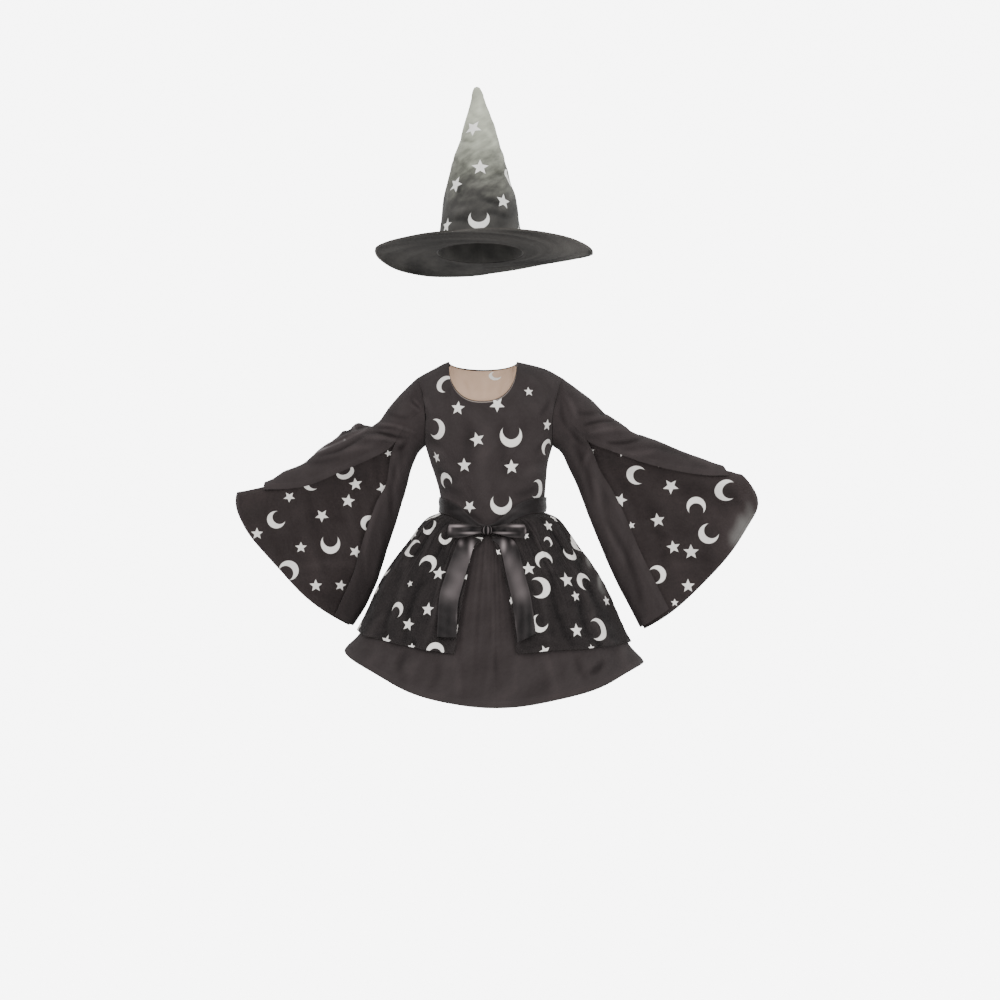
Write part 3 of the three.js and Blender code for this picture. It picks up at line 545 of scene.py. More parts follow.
def wallFaces(columns, rows, wraps, closedTop):
    outer = np.arange(columns * rows).reshape(columns, rows)
    inner = outer + columns * rows
    right = np.roll(outer, -1, axis=0) if wraps else outer[1:]
    left = outer if wraps else outer[:-1]
    skin = np.stack([left[:, :-1], right[:, :-1], right[:, 1:], left[:, 1:]], axis=-1).reshape(-1, 4)
    faces = [skin, skin[:, ::-1] + columns * rows]
    edges = [(left[:, 0], right[:, 0], True)]
    if not closedTop:
        edges.append((left[:, -1], right[:, -1], False))
    for a, b, low in edges:
        rim = np.stack([a + columns * rows, b + columns * rows, b, a], axis=-1)
        faces.append(rim if low else rim[:, ::-1])
    if not wraps:
        for line, first in ((outer[0], True), (outer[-1], False)):
            below = line + columns * rows
            rim = np.stack([below[:-1], line[:-1], line[1:], below[1:]], axis=-1)
            faces.append(rim if first else rim[:, ::-1])
    border = np.zeros((columns, rows), bool)
    border[:, 0] = True
    border[:, -1] = not closedTop
    if not wraps:
        border[0] = border[-1] = True
    return np.concatenate(faces), np.concatenate([border.ravel(), border.ravel()])


def makeMesh(name, points, faces, border, attributes, finish):
    mesh = bpy.data.meshes.new(name)
    mesh.from_pydata((points * 0.001).tolist(), [], faces.tolist())
    for key, values in attributes.items():
        if values.ndim == 2:
            domain = "CORNER" if key == "motif" else "POINT"
            layer = mesh.attributes.new(key, "FLOAT_VECTOR", domain)
            layer.data.foreach_set("vector", values.astype(np.float32).ravel())
        else:
            mesh.attributes.new(key, "FLOAT", "POINT").data.foreach_set("value", values.astype(np.float32))
    mesh.polygons.foreach_set("use_smooth", np.ones(len(mesh.polygons), bool))
    if border is not None:
        ends = np.empty(len(mesh.edges) * 2, np.int64)
        mesh.edges.foreach_get("vertices", ends)
        sharp = border[ends.reshape(-1, 2)].all(axis=1)
        mesh.attributes.new("sharp_edge", "BOOLEAN", "EDGE").data.foreach_set("value", sharp)
    mesh.materials.append(finish)
    mesh.update()
    piece = bpy.data.objects.new(name, mesh)
    bpy.context.collection.objects.link(piece)
    return piece


def weld(piece):  # points that lie on each other become one
    shape = bmesh.new()
    shape.from_mesh(piece.data)
    bmesh.ops.remove_doubles(shape, verts=shape.verts, dist=0.000001)
    shape.to_mesh(piece.data)
    shape.free()


def skinNormals(grid, look, atSeam):  # the bodice's are level where front and back meet
    normals = outward(grid, look["wraps"])
    if look["flatEdge"]:
        normals[atSeam] = unit(normals[atSeam] * np.array([1, 0, 1]))
    return normals


def clothField(grid, normals, across, down, look):  # how far folds, ripples and gathers lift the cloth
    columns, rows = grid.shape[:2]
    field = np.zeros((columns, rows))
    if "folds" in look:
        pixels = toPhoto(grid)
        hidden = foldField(pixels, hiddenFolds(look["folds"], look["mirror"], look["seed"]))
        seen = smoothstep(-normals[..., 1], -0.25, 0.15)
        onlyBack = look["only"] == "back"
        field += hidden if onlyBack else seen * foldField(pixels, look["folds"]) + (1 - seen) * hidden
    field += ripple(across, down, look["uneven"], look["unevenLength"], look["seed"])
    if "gathers" in look:
        field += gatherField(columns, rows, look["gathers"], look["seed"])
    field = field * smoothstep(hemDistance(across, down, look["seams"]), 0, look["heldFor"])
    if look["flatEdge"]:
        field *= smoothstep(np.abs(grid[..., 1]), 2, 26)
    return field


def clothLightAndShade(grid, normals, look):  # painted light and shade, paler and darker places, on the side that faces the camera
    paintedLight = np.zeros(grid.shape[:2])
    if "lightAndShade" in look:
        paintedLight += lightAndShadeField(toPhoto(grid), look["lightAndShade"])
    if "streaks" in look:
        paintedLight += highlightLineField(toPhoto(grid), look["streaks"])
    return paintedLight * (1 - smoothstep(normals[..., 1], 0.1, 0.5))


def clothMotifs(shape, normals, faces, hem, look):  # stars and crescents, at the outer faces' corners
    places = np.full((len(faces), 4, 3), noMotif)
    if "motifs" in look or "scatter" in look:
        columns, rows = shape.shape[:2]
        skin, facing = shape.reshape(-1, 3), normals.reshape(-1, 3)
        front = (columns if look["wraps"] else columns - 1) * (rows - 1)  # the outer skin's faces come first
        found = seenMotifs(skin, facing, look["motifs"]) if "motifs" in look else []
        if "scatter" in look:
            allowed = look["scatter"](skin, facing) & (hem.ravel() > 4)
            found += hiddenMotifs(skin, facing, found, allowed, look["spacing"], look["seed"])
        places[:front] = motifPlaces(skin, faces[:front], facing, found)
    return places.reshape(-1, 3)


def gridArea(ring):  # in square metres
    first = np.cross(ring[1:, :-1] - ring[:-1, :-1], ring[:-1, 1:] - ring[:-1, :-1])
    second = np.cross(ring[1:, :-1] - ring[1:, 1:], ring[:-1, 1:] - ring[1:, 1:])
    total = np.linalg.norm(first, axis=-1).sum() + np.linalg.norm(second, axis=-1).sum()
    return round(total * 0.5e-6, 4)


def finishPiece(piece, look):
    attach(piece, "root")
    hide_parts(look["node"])
    "flat" in look


def clothPiece(name, grid, look):
    look = {**clothDefaults, **look}
    columns, rows = grid.shape[:2]
    across, down = flatPlaces(grid)
    atSeam = np.abs(grid[..., 1]) < 0.4
    normals = skinNormals(grid, look, atSeam)
    hem = hemDistance(across, down, look["hems"])
    hem = np.where(np.arange(rows)[None, :] < look["openFrom"], noHem, hem)  # a slit is sewn shut up to here
    field = clothField(grid, normals, across, down, look)
    paintedLight = clothLightAndShade(grid, normals, look)
    shape = grid + normals * field[..., None]
    normals = skinNormals(shape, look, atSeam)
    wall = look["wall"] / 2 + look["hemThick"] * (1 - smoothstep(hem, look["hemWide"], look["hemWide"] + 2))
    outer = shape + normals * wall[..., None]
    inner = shape - normals * wall[..., None]
    if "tip" in look:  # the last row meets in one point
        outer[:, -1], inner[:, -1] = look["tip"]["outer"], look["tip"]["inner"]
    faces, border = wallFaces(columns, rows, look["wraps"], "tip" in look)
    points = np.concatenate([outer.reshape(-1, 3), inner.reshape(-1, 3)])
    flat = np.stack([across, down, hem], axis=-1).reshape(-1, 3)
    attributes = {
        "flat": np.concatenate([flat, flat]),
        "motif": clothMotifs(shape, normals, faces, hem, look),
        # fold holds painted shade: troughs darker and ridges paler on the outer skin, turned round on the
        # inner, plus painted light and shade
        "fold": np.concatenate([field / 4 + paintedLight, paintedLight - field / 4], axis=None),
    }
    piece = makeMesh(name, points, faces, border, attributes, finishes[look.get("finish", look["slot"])])
    if "tip" in look:
        weld(piece)
    finishPiece(piece, look)
    ring = np.concatenate([shape, shape[:1]]) if look["wraps"] else shape
    wide = int(np.linalg.norm(np.diff(ring, axis=0), axis=-1).sum(0).max())
    high = int(np.linalg.norm(np.diff(shape, axis=1), axis=-1).sum(1).max())
    print(name, len(faces) * 2, "triangles,", wide, "mm across,", high, "mm down,", gridArea(ring), "m2")


def foldRows(*rows):
    return table("fromX fromY toX toY width depth", *rows)


def motifRows(*rows):
    return table("moon x y size turn", *rows)


def highlightLineRows(*rows):
    return table("fromX fromY toX toY width amount", *rows)


# rows of painted light and shade: place, spread and amount
def lightAndShadeRows(*rows):
    return table("x y wide tall amount", *rows)


# Bodice
trunkRows = table(
    "height half front back middle",
    (20, 148, 80, 78, 4), (-29, 144, 84, 82, 8), (-60, 134, 87, 84, 9), (-95, 130, 90, 86, 9),
    (-131, 121, 92, 86, 9), (-151, 114, 92, 85, 9), (-182, 105, 90, 83, 9.5), (-212, 98.4, 86, 80, 13),
    (-243, 93.6, 82, 77, 15.5), (-272, 93.6, 81, 77, 15.5), (-320, 98, 85, 82, 14),
)
armholeRows = table(
    "height right left", (-29, -119, 140), (-59, -109, 131), (-95, -103, 122), (-131, -104, 121),
    (-151, -105, 123),
)
shoulderRows = table(
    "across height", (-151, -59), (-130, -39), (-119, -29), (-92, -14), (-63, 0), (0, 12), (59, 0),
    (110, -13),
    (140, -29), (170, -48),
)
neckMiddle, neckHalf, scoopDrop, scoopPower, backNeckDrop = -2, 61, 77, 2.4, 10
collarHalf, collarDepth, collarTop, collarDrop = 57, 47, -4, 17
tipHeight, armpitHeight, waistHeight, sashHeight = -29, -151, -271, -243
knotX, seamDip, sashDip, dipReach = 6, 38, 49, 46


def trunk(name, height):
    return read(trunkRows, "height", name, height)


def shoulder(across):
    return read(shoulderRows, "across", "height", across)


def dip(across, depth):
    share = (across - trunk("middle", waistHeight)) / trunk("half", waistHeight)
    inside = np.minimum(1, 3 * np.sqrt(np.maximum(0, 1 - share**2)))
    return depth * inside * np.exp(-(((across - knotX) / dipReach) ** 2))


def trunkDepth(x, z, side):
    share = (x - trunk("middle", z)) / trunk("half", z)
    below = np.clip((shoulder(x) - z) / 90, 0, 1)
    rounding = np.sqrt(1 - (1 - below) ** 2)
    depth = np.where(side < 0, trunk("front", z), trunk("back", z))
    return side * depth * np.sqrt(np.maximum(0, 1 - share**2)) * rounding


def sideEdge(side, z):
    sign = 1 if side == "left" else -1
    seam = trunk("middle", z) + sign * trunk("half", z)
    return np.where(z > armpitHeight, read(armholeRows, "height", side, z), seam)


def scoopPoint(angle):
    across = np.cos(angle)
    x = neckMiddle - neckHalf * np.sign(across) * np.abs(across) ** (2 / scoopPower)
    return x, -scoopDrop * np.maximum(np.sin(angle), 0) ** (2 / scoopPower)


def topEdge(i, side):  # from one shoulder tip over the neck to the other, i from 0 to 24
    onRight = lerp(sideEdge("right", tipHeight), neckMiddle - neckHalf, i / 5)
    onLeft = lerp(neckMiddle + neckHalf, sideEdge("left", tipHeight), (i - 19) / 5)
    share = np.clip((i - 5) / 14, 0, 1)
    angle = quarter * (2 * np.minimum(share, 1 - share)) ** 1.7
    angle = np.where(share > 0.5, math.pi - angle, angle)
    if side < 0:
        neckX, neckZ = scoopPoint(angle)
    else:
        neckX, neckZ = neckMiddle - neckHalf * np.cos(angle), -backNeckDrop * np.sin(angle)
    x = np.where(i <= 5, onRight, np.where(i >= 19, onLeft, neckX))
    return x, np.where((i <= 5) | (i >= 19), shoulder(x), neckZ)


def bodiceGrid(side):
    i = np.linspace(0, 24, 24 * 5 + 1)[:, None]
    marks = [0, 0.14, 0.28, 0.42, 0.56, 0.69, 0.79, 0.87, 0.93, 0.97, 1]
    up = spaced(marks, 71)[None, :]
    topX, topZ = topEdge(i, side)
    rightTip, leftTip = sideEdge("right", tipHeight), sideEdge("left", tipHeight)
    shareTop = (topX - rightTip) / (leftTip - rightTip)
    shareLow = (1 - np.cos(math.pi * i / 24)) / 2
    edgeZ = lerp(waistHeight, tipHeight, up)
    x = lerp(sideEdge("right", edgeZ), sideEdge("left", edgeZ), lerp(shareLow, shareTop, up))
    low = waistHeight - (dip(x, seamDip) if side < 0 else 0)
    z = lerp(low, topZ, up)
    grid = stack(x, trunkDepth(x, z, side) + side * 0.15, z)
    return grid if side < 0 else grid[::-1]


bodiceFront = {
    "node": "bodice_front", "slot": "printed_knit", "wall": 1.3, "flatEdge": True, "seed": 3,
    "hems": ("neck",), "hemThick": 0.0, "uneven": 0.25,
    "flat": (0.37, 0.32), "area": 0.074, "held": "hung",
    "folds": foldRows(
        (412, 396, 424, 410, 3.0, -1.6), (417, 405, 428, 419, 3.0, -1.3), (424, 398, 432, 412, 3.5, 1.1),
        (427, 434, 440, 446, 4.5, -1.4), (430, 448, 446, 458, 5.0, 1.2), (436, 470, 458, 480, 6.0, -1.5),
        (438, 488, 462, 494, 5.0, -1.3), (440, 497, 470, 509, 5.0, 1.2), (466, 512, 484, 524, 3.5, -1.3),
        (512, 510, 493, 524, 3.5, -1.3), (540, 486, 516, 496, 6.0, -1.4), (545, 468, 524, 474, 6.0, 1.1),
        (543, 498, 522, 506, 5.0, -1.2), (551, 440, 536, 452, 4.5, -1.2), (549, 400, 540, 416, 4.0, -1.3),
        (486, 430, 487, 500, 9.0, 1.0), (470, 420, 463, 470, 9.0, -0.8), (503, 425, 510, 478, 9.0, -0.8),
    ),
    "motifs": motifRows(
        (0, 458, 408.2, 7, -5), (0, 497.4, 404.6, 7.5, 180), (0, 477.2, 439.7, 7.4, 15),
        (0, 436.7, 457, 6, 10),
        (0, 464.5, 465.3, 7.2, 0), (0, 511.6, 467, 7.5, 5), (0, 469.8, 506.6, 6.5, 180), (0, 547, 425, 6, 0),
        (0, 528.6, 391.8, 5, 0), (1, 445, 384, 9, 150), (1, 436.7, 428.6, 10, 340), (1, 511.4, 436, 11, 270),
        (1, 446, 480.2, 8.5, 110), (1, 536.6, 489.4, 9.5, 0), (1, 501, 503.8, 10.5, 270),
        (1, 546.4, 447, 8, 145),
    ),
}
bodiceBack = {
    "node": "bodice_back", "slot": "plain_knit", "wall": 1.3, "flatEdge": True, "seed": 4, "only": "back",
    "mirror": 491, "flat": (0.34, 0.3), "area": 0.078, "held": "hung", "folds": bodiceFront["folds"],
    "uneven": 0.3,
}
clothPiece("dress_bodice_front", bodiceGrid(-1), bodiceFront)
clothPiece("dress_bodice_back", bodiceGrid(1), bodiceBack)


# The thin yoke fills the scoop up to the round neckline.
def yokeGrid():
    angle = (math.pi * np.linspace(0.04, 0.96, 73))[:, None]
    up = np.linspace(0, 1, 17)[None, :]
    edgeX, edgeZ = scoopPoint(angle)
    inset = 1.4
    lowY = trunkDepth(edgeX, edgeZ, -1) + inset * np.sin(angle)
    low = stack(edgeX + inset * np.cos(angle), lowY, edgeZ + inset)
    neckY = -collarDepth * np.sin(angle) ** 0.8
    neck = stack(neckMiddle - collarHalf * np.cos(angle), neckY, collarTop - collarDrop * np.sin(angle))
    grid = lerp(low, neck, up[..., None])
    grid[..., 1] -= 3 * np.sin(math.pi * up) * np.sin(angle)
    return grid


yoke = {
    "node": "yoke_front", "slot": "nude_mesh", "wall": 1.0, "seed": 5, "hems": ("high", "low"),
    "hemWide": 2.5,
    "hemThick": 0.25, "flat": (0.17, 0.085), "area": 0.0078, "held": "stretched", "uneven": 0.12,
    "folds": foldRows(
        (463, 380, 470, 396, 3, -0.5), (505, 378, 499, 396, 3, -0.5), (484, 378, 484, 398, 4, 0.4),
    ),
    "motifs": motifRows((1, 495, 376, 6, 225)),
}
clothPiece("dress_yoke", yokeGrid(), yoke)
print("bodice made")


# Skirts
flareRows = table(
    "along spread drop", (0, 0, 0), (0.08, 0.12, 0.047), (0.21, 0.27, 0.167), (0.35, 0.43, 0.302),
    (0.47, 0.55, 0.42),
    (0.59, 0.66, 0.555), (0.73, 0.77, 0.706), (0.88, 0.9, 0.871), (1, 1, 1),
)
standOffRows = table("along off", (0, 3), (0.06, 6.5), (0.2, 8.5), (0.5, 9.5), (1, 9.5))
openingRows = table(
    "along right left", (0, -4, 6), (0.07, -9, 11), (0.15, -24, 17), (0.4, -38, 36), (0.75, -57, 53),
)
skirtCut = {
    "right": 172, "left": 174, "front": 104, "back": 110, "sideRight": -515, "sideLeft": -538,
    "hemFront": -598, "hemBack": -592, "overFront": 0.73, "overSide": 0.87,
    "folds": 9, "foldDepth": 7, "gathers": 20, "gatherDepth": 4, "tuck": 10,
}


def skirtPoint(angle, along, lift=0.0):
    across, ahead = np.sin(angle), np.cos(angle)
    spread = read(flareRows, "along", "spread", along)
    drop = read(flareRows, "along", "drop", along)
    wide = np.where(across < 0, skirtCut["right"], skirtCut["left"])
    deep = np.where(ahead > 0, skirtCut["front"], skirtCut["back"])
    wave = np.sin(skirtCut["folds"] * angle + 0.9 * np.sin(2 * angle) + 0.6)
    fold = skirtCut["foldDepth"] * along**1.5 * wave
    out = lift + fold * 0.5
    half = trunk("half", waistHeight) + wide * spread + out
    waistX = trunk("middle", waistHeight) + trunk("half", waistHeight) * across
    top = waistHeight - np.where(ahead > 0, dip(waistX, seamDip), 0)
    depth = np.where(ahead > 0, trunk("front", top), trunk("back", top))
    sideHem = np.where(across < 0, skirtCut["sideRight"], skirtCut["sideLeft"])
    hem = lerp(sideHem, np.where(ahead > 0, skirtCut["hemFront"], skirtCut["hemBack"]), ahead**2)
    x = trunk("middle", waistHeight) + half * across
    return stack(x, -(depth + deep * spread + out) * ahead, lerp(top - 0.8, hem, drop))


def overHem(angle):
    return lerp(skirtCut["overFront"], skirtCut["overSide"], np.sin(angle) ** 2)


def underGrid(start, end):
    angle = np.linspace(start, end, 225)[:, None]
    along = np.linspace(1, 0, 81)[None, :]
    opened = smoothstep(along, overHem(angle) + 0.02, 1)
    return skirtPoint(angle, along, -skirtCut["tuck"] * smoothstep(along, 0, 0.3) * (1 - opened))


def overLift(angle, along):
    off = read(standOffRows, "along", "off", along)
    beat = np.sin(skirtCut["gathers"] * angle + 1.3 * np.sin(3 * angle + 0.5))
    uneven = 0.75 + 0.25 * np.sin(5 * angle + 1.1)
    gathers = skirtCut["gatherDepth"] * smoothstep(along, 0.02, 0.25) * (1 + beat * uneven) * 0.5
    return off + gathers - skirtCut["tuck"] * smoothstep(along, 0, 0.3)


def angleOf(across, along):
    spread = read(flareRows, "along", "spread", along)
    middle = trunk("middle", waistHeight)
    wide = np.where(across < middle, skirtCut["right"], skirtCut["left"])
    return np.arcsin(np.clip((across - middle) / (trunk("half", waistHeight) + wide * spread), -1, 1))


def settle(share):  # towards its hem the overskirt comes nearer to the underskirt
    return 4.5 * smoothstep(share, 0.6, 1)


def overGrid(side):
    share = np.linspace(1, 0, 71)[None, :]
    if side == "back":
        angle = np.linspace(quarter, 3 * quarter, 241)[:, None]
        along = share * overHem(angle)
        return skirtPoint(angle, along, overLift(angle, along) - settle(share))
    turn = np.linspace(0, 1, 131)[:, None]
    outerEdge = quarter if side == "left" else -quarter

    def edge(along):
        return angleOf(knotX + read(openingRows, "along", side, along), along)

    along = share * overHem(lerp(edge(np.array(skirtCut["overFront"])), outerEdge, turn))
    angle = lerp(edge(along), outerEdge, turn)
    grid = skirtPoint(angle, along, overLift(angle, along) - settle(share))
    return grid if side == "left" else grid[::-1]


underFront = {
    "node": "underskirt_front", "slot": "plain_knit", "wall": 1.3, "seed": 11, "hems": ("low",),
    "seams": ("high", "start", "end"), "flat": (0.69, 0.38), "area": 0.165, "held": "hung", "uneven": 0.4,
    "unevenLength": 70,
    "gathers": {"count": 56, "depth": 0.5, "end": 0.35},
    "folds": foldRows(
        (452, 585, 440, 655, 5, -0.7), (470, 572, 464, 690, 4, -0.6), (484, 556, 485, 700, 4, 0.8),
        (496, 575, 500, 690, 4, -0.6), (509, 575, 515, 680, 4, 0.7), (522, 590, 531, 660, 5, -0.7),
        (440, 660, 428, 695, 7, -1.0), (406, 652, 398, 672, 6, -1.7), (380, 650, 366, 664, 7, 1.1),
        (419, 656, 409, 686, 6, 0.9), (545, 656, 556, 697, 7, 1.0), (576, 658, 586, 680, 6, -1.2),
        (603, 662, 590, 674, 5, -2.6), (622, 648, 628, 670, 6, 1.0), (458, 664, 455, 702, 6, 0.7),
    ),
}
underBack = {
    **underFront, "node": "underskirt_back", "seed": 12, "only": "back", "mirror": 491,
    "flat": (0.69, 0.38), "area": 0.167,
}
clothPiece("underskirt_front_panel", underGrid(-quarter, quarter), underFront)
clothPiece("underskirt_back_panel", underGrid(quarter, 3 * quarter), underBack)

overRight = {
    "node": "overskirt_right", "slot": "printed_mesh", "wall": 0.9, "seed": 21, "hems": ("low", "end"),
    "hemWide": 6, "hemThick": 0.25, "seams": ("high", "start"), "flat": (0.44, 0.26), "area": 0.051,
    "held": "gathered",
    "uneven": 0.35, "unevenLength": 30, "gathers": {"count": 15, "depth": 0.9, "end": 0.5},
    "folds": foldRows(
        (468, 533, 458, 560, 2.5, -1.3), (458, 528, 446, 556, 2.5, 1.2), (450, 524, 436, 556, 3, -1.4),
        (442, 521, 420, 570, 3, 1.3), (436, 518, 410, 560, 3, -1.4), (452, 560, 440, 640, 4, -1.5),
        (440, 570, 424, 645, 4, 1.4), (424, 575, 405, 645, 5, -1.6), (408, 560, 384, 630, 5, 1.4),
        (398, 548, 368, 620, 5, -1.5), (414, 640, 408, 658, 4, -2.4), (384, 615, 366, 645, 5, 1.8),
        (462, 590, 454, 648, 4, 1.4), (396, 600, 384, 640, 4, -1.5),
    ),
    "motifs": motifRows(
        (1, 429.8, 526.5, 8, 315), (1, 412.4, 549, 9.5, 170), (1, 427.8, 564.3, 9, 60), (1, 446, 538, 7, 270),
        (1, 479.5, 543.9, 7.5, 350), (0, 439, 573, 7, 0), (0, 376.7, 590.8, 6, 0), (0, 427.8, 609.6, 7, 0),
        (0, 408.4, 624.5, 6.5, -8), (0, 359.4, 626.9, 6, 0), (0, 386.5, 640.4, 6.5, -8),
        (1, 397, 610, 7.5, 60),
        (1, 388, 569.4, 8, 240), (1, 435.5, 651.4, 8.5, 90), (0, 458, 630.6, 6, 0), (0, 472, 561.7, 3.5, 10),
        (0, 467.6, 577.6, 4, 200), (0, 410, 584, 3.5, 20), (0, 409.8, 654.5, 4, 0),
    ),
    "scatter": lambda points, facing: facing[:, 1] > 0.15,
    "spacing": 46,
}
overLeft = {
    **overRight, "node": "overskirt_left", "seed": 22, "hems": ("low", "start"), "seams": ("high", "end"),
    "flat": (0.5, 0.28), "area": 0.059,
    "folds": foldRows(
        (500, 534, 508, 560, 2.5, -1.3), (512, 528, 524, 556, 2.5, 1.2), (521, 524, 536, 556, 3, -1.4),
        (532, 521, 552, 570, 3, 1.3), (540, 518, 568, 560, 3, -1.4), (516, 560, 530, 640, 4, -1.5),
        (530, 570, 548, 645, 4, 1.4), (550, 575, 572, 645, 5, -1.6), (566, 560, 596, 630, 5, 1.4),
        (576, 548, 608, 620, 5, -1.5), (595, 640, 604, 662, 4, -2.4), (590, 615, 612, 645, 5, 1.8),
        (508, 590, 519, 648, 4, 1.4), (580, 600, 590, 640, 4, -1.5),
    ),
    "motifs": motifRows(
        (0, 528.8, 568.8, 7, 0), (1, 544, 560.2, 8.5, 110), (1, 540, 587.8, 10.5, 0), (0, 566.5, 580.2, 8, 0),
        (1, 583.9, 581.6, 9, 130), (0, 575.7, 595.9, 5.5, 5), (0, 606.3, 601, 5.5, 0),
        (0, 576.7, 630.6, 7, 0),
        (1, 598.2, 629.6, 11, 0), (1, 539, 623.5, 8.5, 225), (0, 545, 652, 6, 20), (1, 570.6, 553, 8, 270),
        (0, 548, 526.5, 6, 0), (0, 553.3, 518.4, 5, 0), (1, 548, 541.8, 5, 45), (0, 511.7, 600.7, 4, 20),
        (0, 593, 662, 4, 0), (0, 525.7, 535.7, 4, 15), (0, 497, 552.7, 4, 30),
    ),
}
overBack = {
    **overRight, "node": "overskirt_back", "seed": 23, "only": "back", "mirror": 491, "hems": ("low",),
    "seams": ("high", "start", "end"),
    "flat": (0.98, 0.28), "area": 0.126, "gathers": {"count": 34, "depth": 1.0, "end": 0.5},
    "scatter": lambda points, facing: facing[:, 1] > -2,
}
del overBack["motifs"]
overBack["folds"] = {
    key: np.concatenate([overRight["folds"][key], overLeft["folds"][key]]) for key in overLeft["folds"]
}
# painted light on pale patches of the sheer overskirt, and painted shade in a fold at its hem
overLeft["lightAndShade"] = lightAndShadeRows(
    (589, 558, 5, 13, 1.4), (599, 580, 4, 13, 1.2), (581, 547, 4, 6, 0.9), (604, 592, 4, 8, 0.8),
    (596, 668, 10, 5, -0.2),
)
clothPiece("overskirt_right_panel", overGrid("right"), overRight)
clothPiece("overskirt_left_panel", overGrid("left"), overLeft)
clothPiece("overskirt_back_panel", overGrid("back"), overBack)
print("skirts made")


# Sash and bow
def sashPoint(angle, up):
    ahead = np.cos(angle) > 0
    x = trunk("middle", waistHeight) + trunk("half", waistHeight) * np.sin(angle)
    low = waistHeight + 1 - np.where(ahead, dip(x, seamDip), 0)
    high = sashHeight - np.where(ahead, dip(x, sashDip), 0)
    z = lerp(low, high, up)
    lift = 2.75 + 1.2 * np.sin(math.pi * up)
    half = trunk("half", z) + lift
    depth = np.where(ahead, trunk("front", z), trunk("back", z)) + lift
    return stack(trunk("middle", z) + half * np.sin(angle), -depth * np.cos(angle), z)


def sashGrid():
    angle = (2 * math.pi * np.arange(216) / 216 - math.pi)[:, None]
    up = np.linspace(0, 1, 17)[None, :]
    grid = sashPoint(angle, up)
    pleats = 0.45 * np.sin(3 * math.pi * up + 1.2 * np.sin(3 * angle)) * np.ones_like(angle)
    return grid + outward(grid, True) * pleats[..., None]


sash = {
    "node": "sash", "slot": "dark_satin", "wall": 0.8, "wraps": True, "seed": 31, "hems": ("low", "high"),
    "hemWide": 0.8, "hemThick": 0.1, "flat": (0.59, 0.03), "area": 0.0144, "held": "stretched", "uneven": 0.1,
    "restsOn": ["bodice_front", "bodice_back"],
    # faint painted highlights on the sash's satin beside the bow
    "lightAndShade": lightAndShadeRows((462, 512, 12, 2.5, 0.05), (515, 511, 12, 2.5, 0.05), (487, 524, 8, 2, 0.06)),
}
clothPiece("waist_sash", sashGrid(), sash)

bow = {"knot": (10, 6, 8), "loopLength": 58, "loopHalf": 12, "tuck": 0.3}
behindKnot = sashPoint(angleOf(np.array(float(knotX)), np.array(0.0)), 0.5)
knotMiddle = np.array([knotX, behindKnot[1] - 0.7 - bow["knot"][1] - 0.5, behindKnot[2] - 1])


def loopGrid(way):
    angle = (-way * 2 * math.pi * np.arange(72) / 72)[:, None]
    up = np.linspace(-1, 1, 25)[None, :]
    out = (1 - np.cos(angle)) / 2
    full = np.sin(math.pi * np.minimum(1, out * 0.8 + 0.1))
    pleat = (1 - smoothstep(out, 0.05, 0.75)) * np.cos(3 * math.pi * up) * 0.7 * np.sign(np.sin(angle) + 1e-6)
    x = knotMiddle[0] + way * (bow["knot"][0] - bow["tuck"] + bow["loopLength"] * out)
    y = knotMiddle[1] - 4 + np.sin(angle) * lerp(2.4, 5.5, full) - 21 * out + pleat * np.abs(np.sin(angle))
    half = lerp(6, bow["loopHalf"], smoothstep(out, 0, 0.6))
    z = knotMiddle[2] + 1 + half * up - 2 * out**2
    return stack(x - way * 4 * out * up**2, y, z)


loop = {
    "slot": "dark_satin", "wall": 0.7, "wraps": True, "seed": 32, "hems": ("low", "high"), "hemWide": 0.8,
    "hemThick": 0.1, "flat": (0.13, 0.025), "area": 0.0026, "held": "folded", "uneven": 0.15,
    "unevenLength": 18,
}
loopShine = lightAndShadeRows(
    (457, 526, 7, 1.2, 1.1), (470, 533, 8, 1.0, 0.8), (450, 529, 1.6, 3, 0.5), (465, 538, 8, 1.0, 0.15),
    (517, 526, 7, 1.2, 1.0), (504, 533, 8, 1.0, 0.7), (526, 531, 1.3, 3, 0.5), (510, 538, 8, 1.0, 0.12),
)
clothPiece("bow_loop_on_right", loopGrid(-1), {**loop, "node": "bow_loop_right", "lightAndShade": loopShine})
clothPiece("bow_loop_on_left", loopGrid(1), {**loop, "node": "bow_loop_left", "seed": 33, "lightAndShade": loopShine})


def makeKnot():
    lat = np.linspace(-quarter, quarter, 33)[None, :]
    turn = (2 * math.pi * np.arange(64) / 64)[:, None]

    def square(value, size):
        return np.sign(value) * np.abs(value) ** 0.8 * size

    flutes = 1 + 0.05 * np.cos(9 * turn) * np.cos(lat)
    x = square(np.cos(lat) * np.cos(turn), bow["knot"][0]) * flutes
    y = square(np.cos(lat) * np.sin(turn), bow["knot"][1]) * flutes
    z = square(np.sin(lat), bow["knot"][2]) * np.ones_like(turn)
    grid = stack(x, y, z) + knotMiddle
    columns, rows = grid.shape[:2]
    index = np.arange(columns * rows).reshape(columns, rows)
    right = np.roll(index, -1, axis=0)
    faces = np.stack([index[:, :-1], right[:, :-1], right[:, 1:], index[:, 1:]], axis=-1).reshape(-1, 4)
    across, down = flatPlaces(grid)
    attributes = {
        "flat": np.stack([across, down, np.full(across.shape, noHem)], axis=-1).reshape(-1, 3),
        "motif": np.full((len(faces) * 4, 3), noMotif),
        # painted shade: the flutes paler on their ridges and darker in their hollows
        "fold": (flutes - 1).ravel() * 8,
    }
    piece = makeMesh("bow_knot_wrap", grid.reshape(-1, 3), faces, None, attributes, finishes["dark_satin"])
    weld(piece)
    finishPiece(piece, {"node": "bow_knot", "slot": "dark_satin"})


makeKnot()

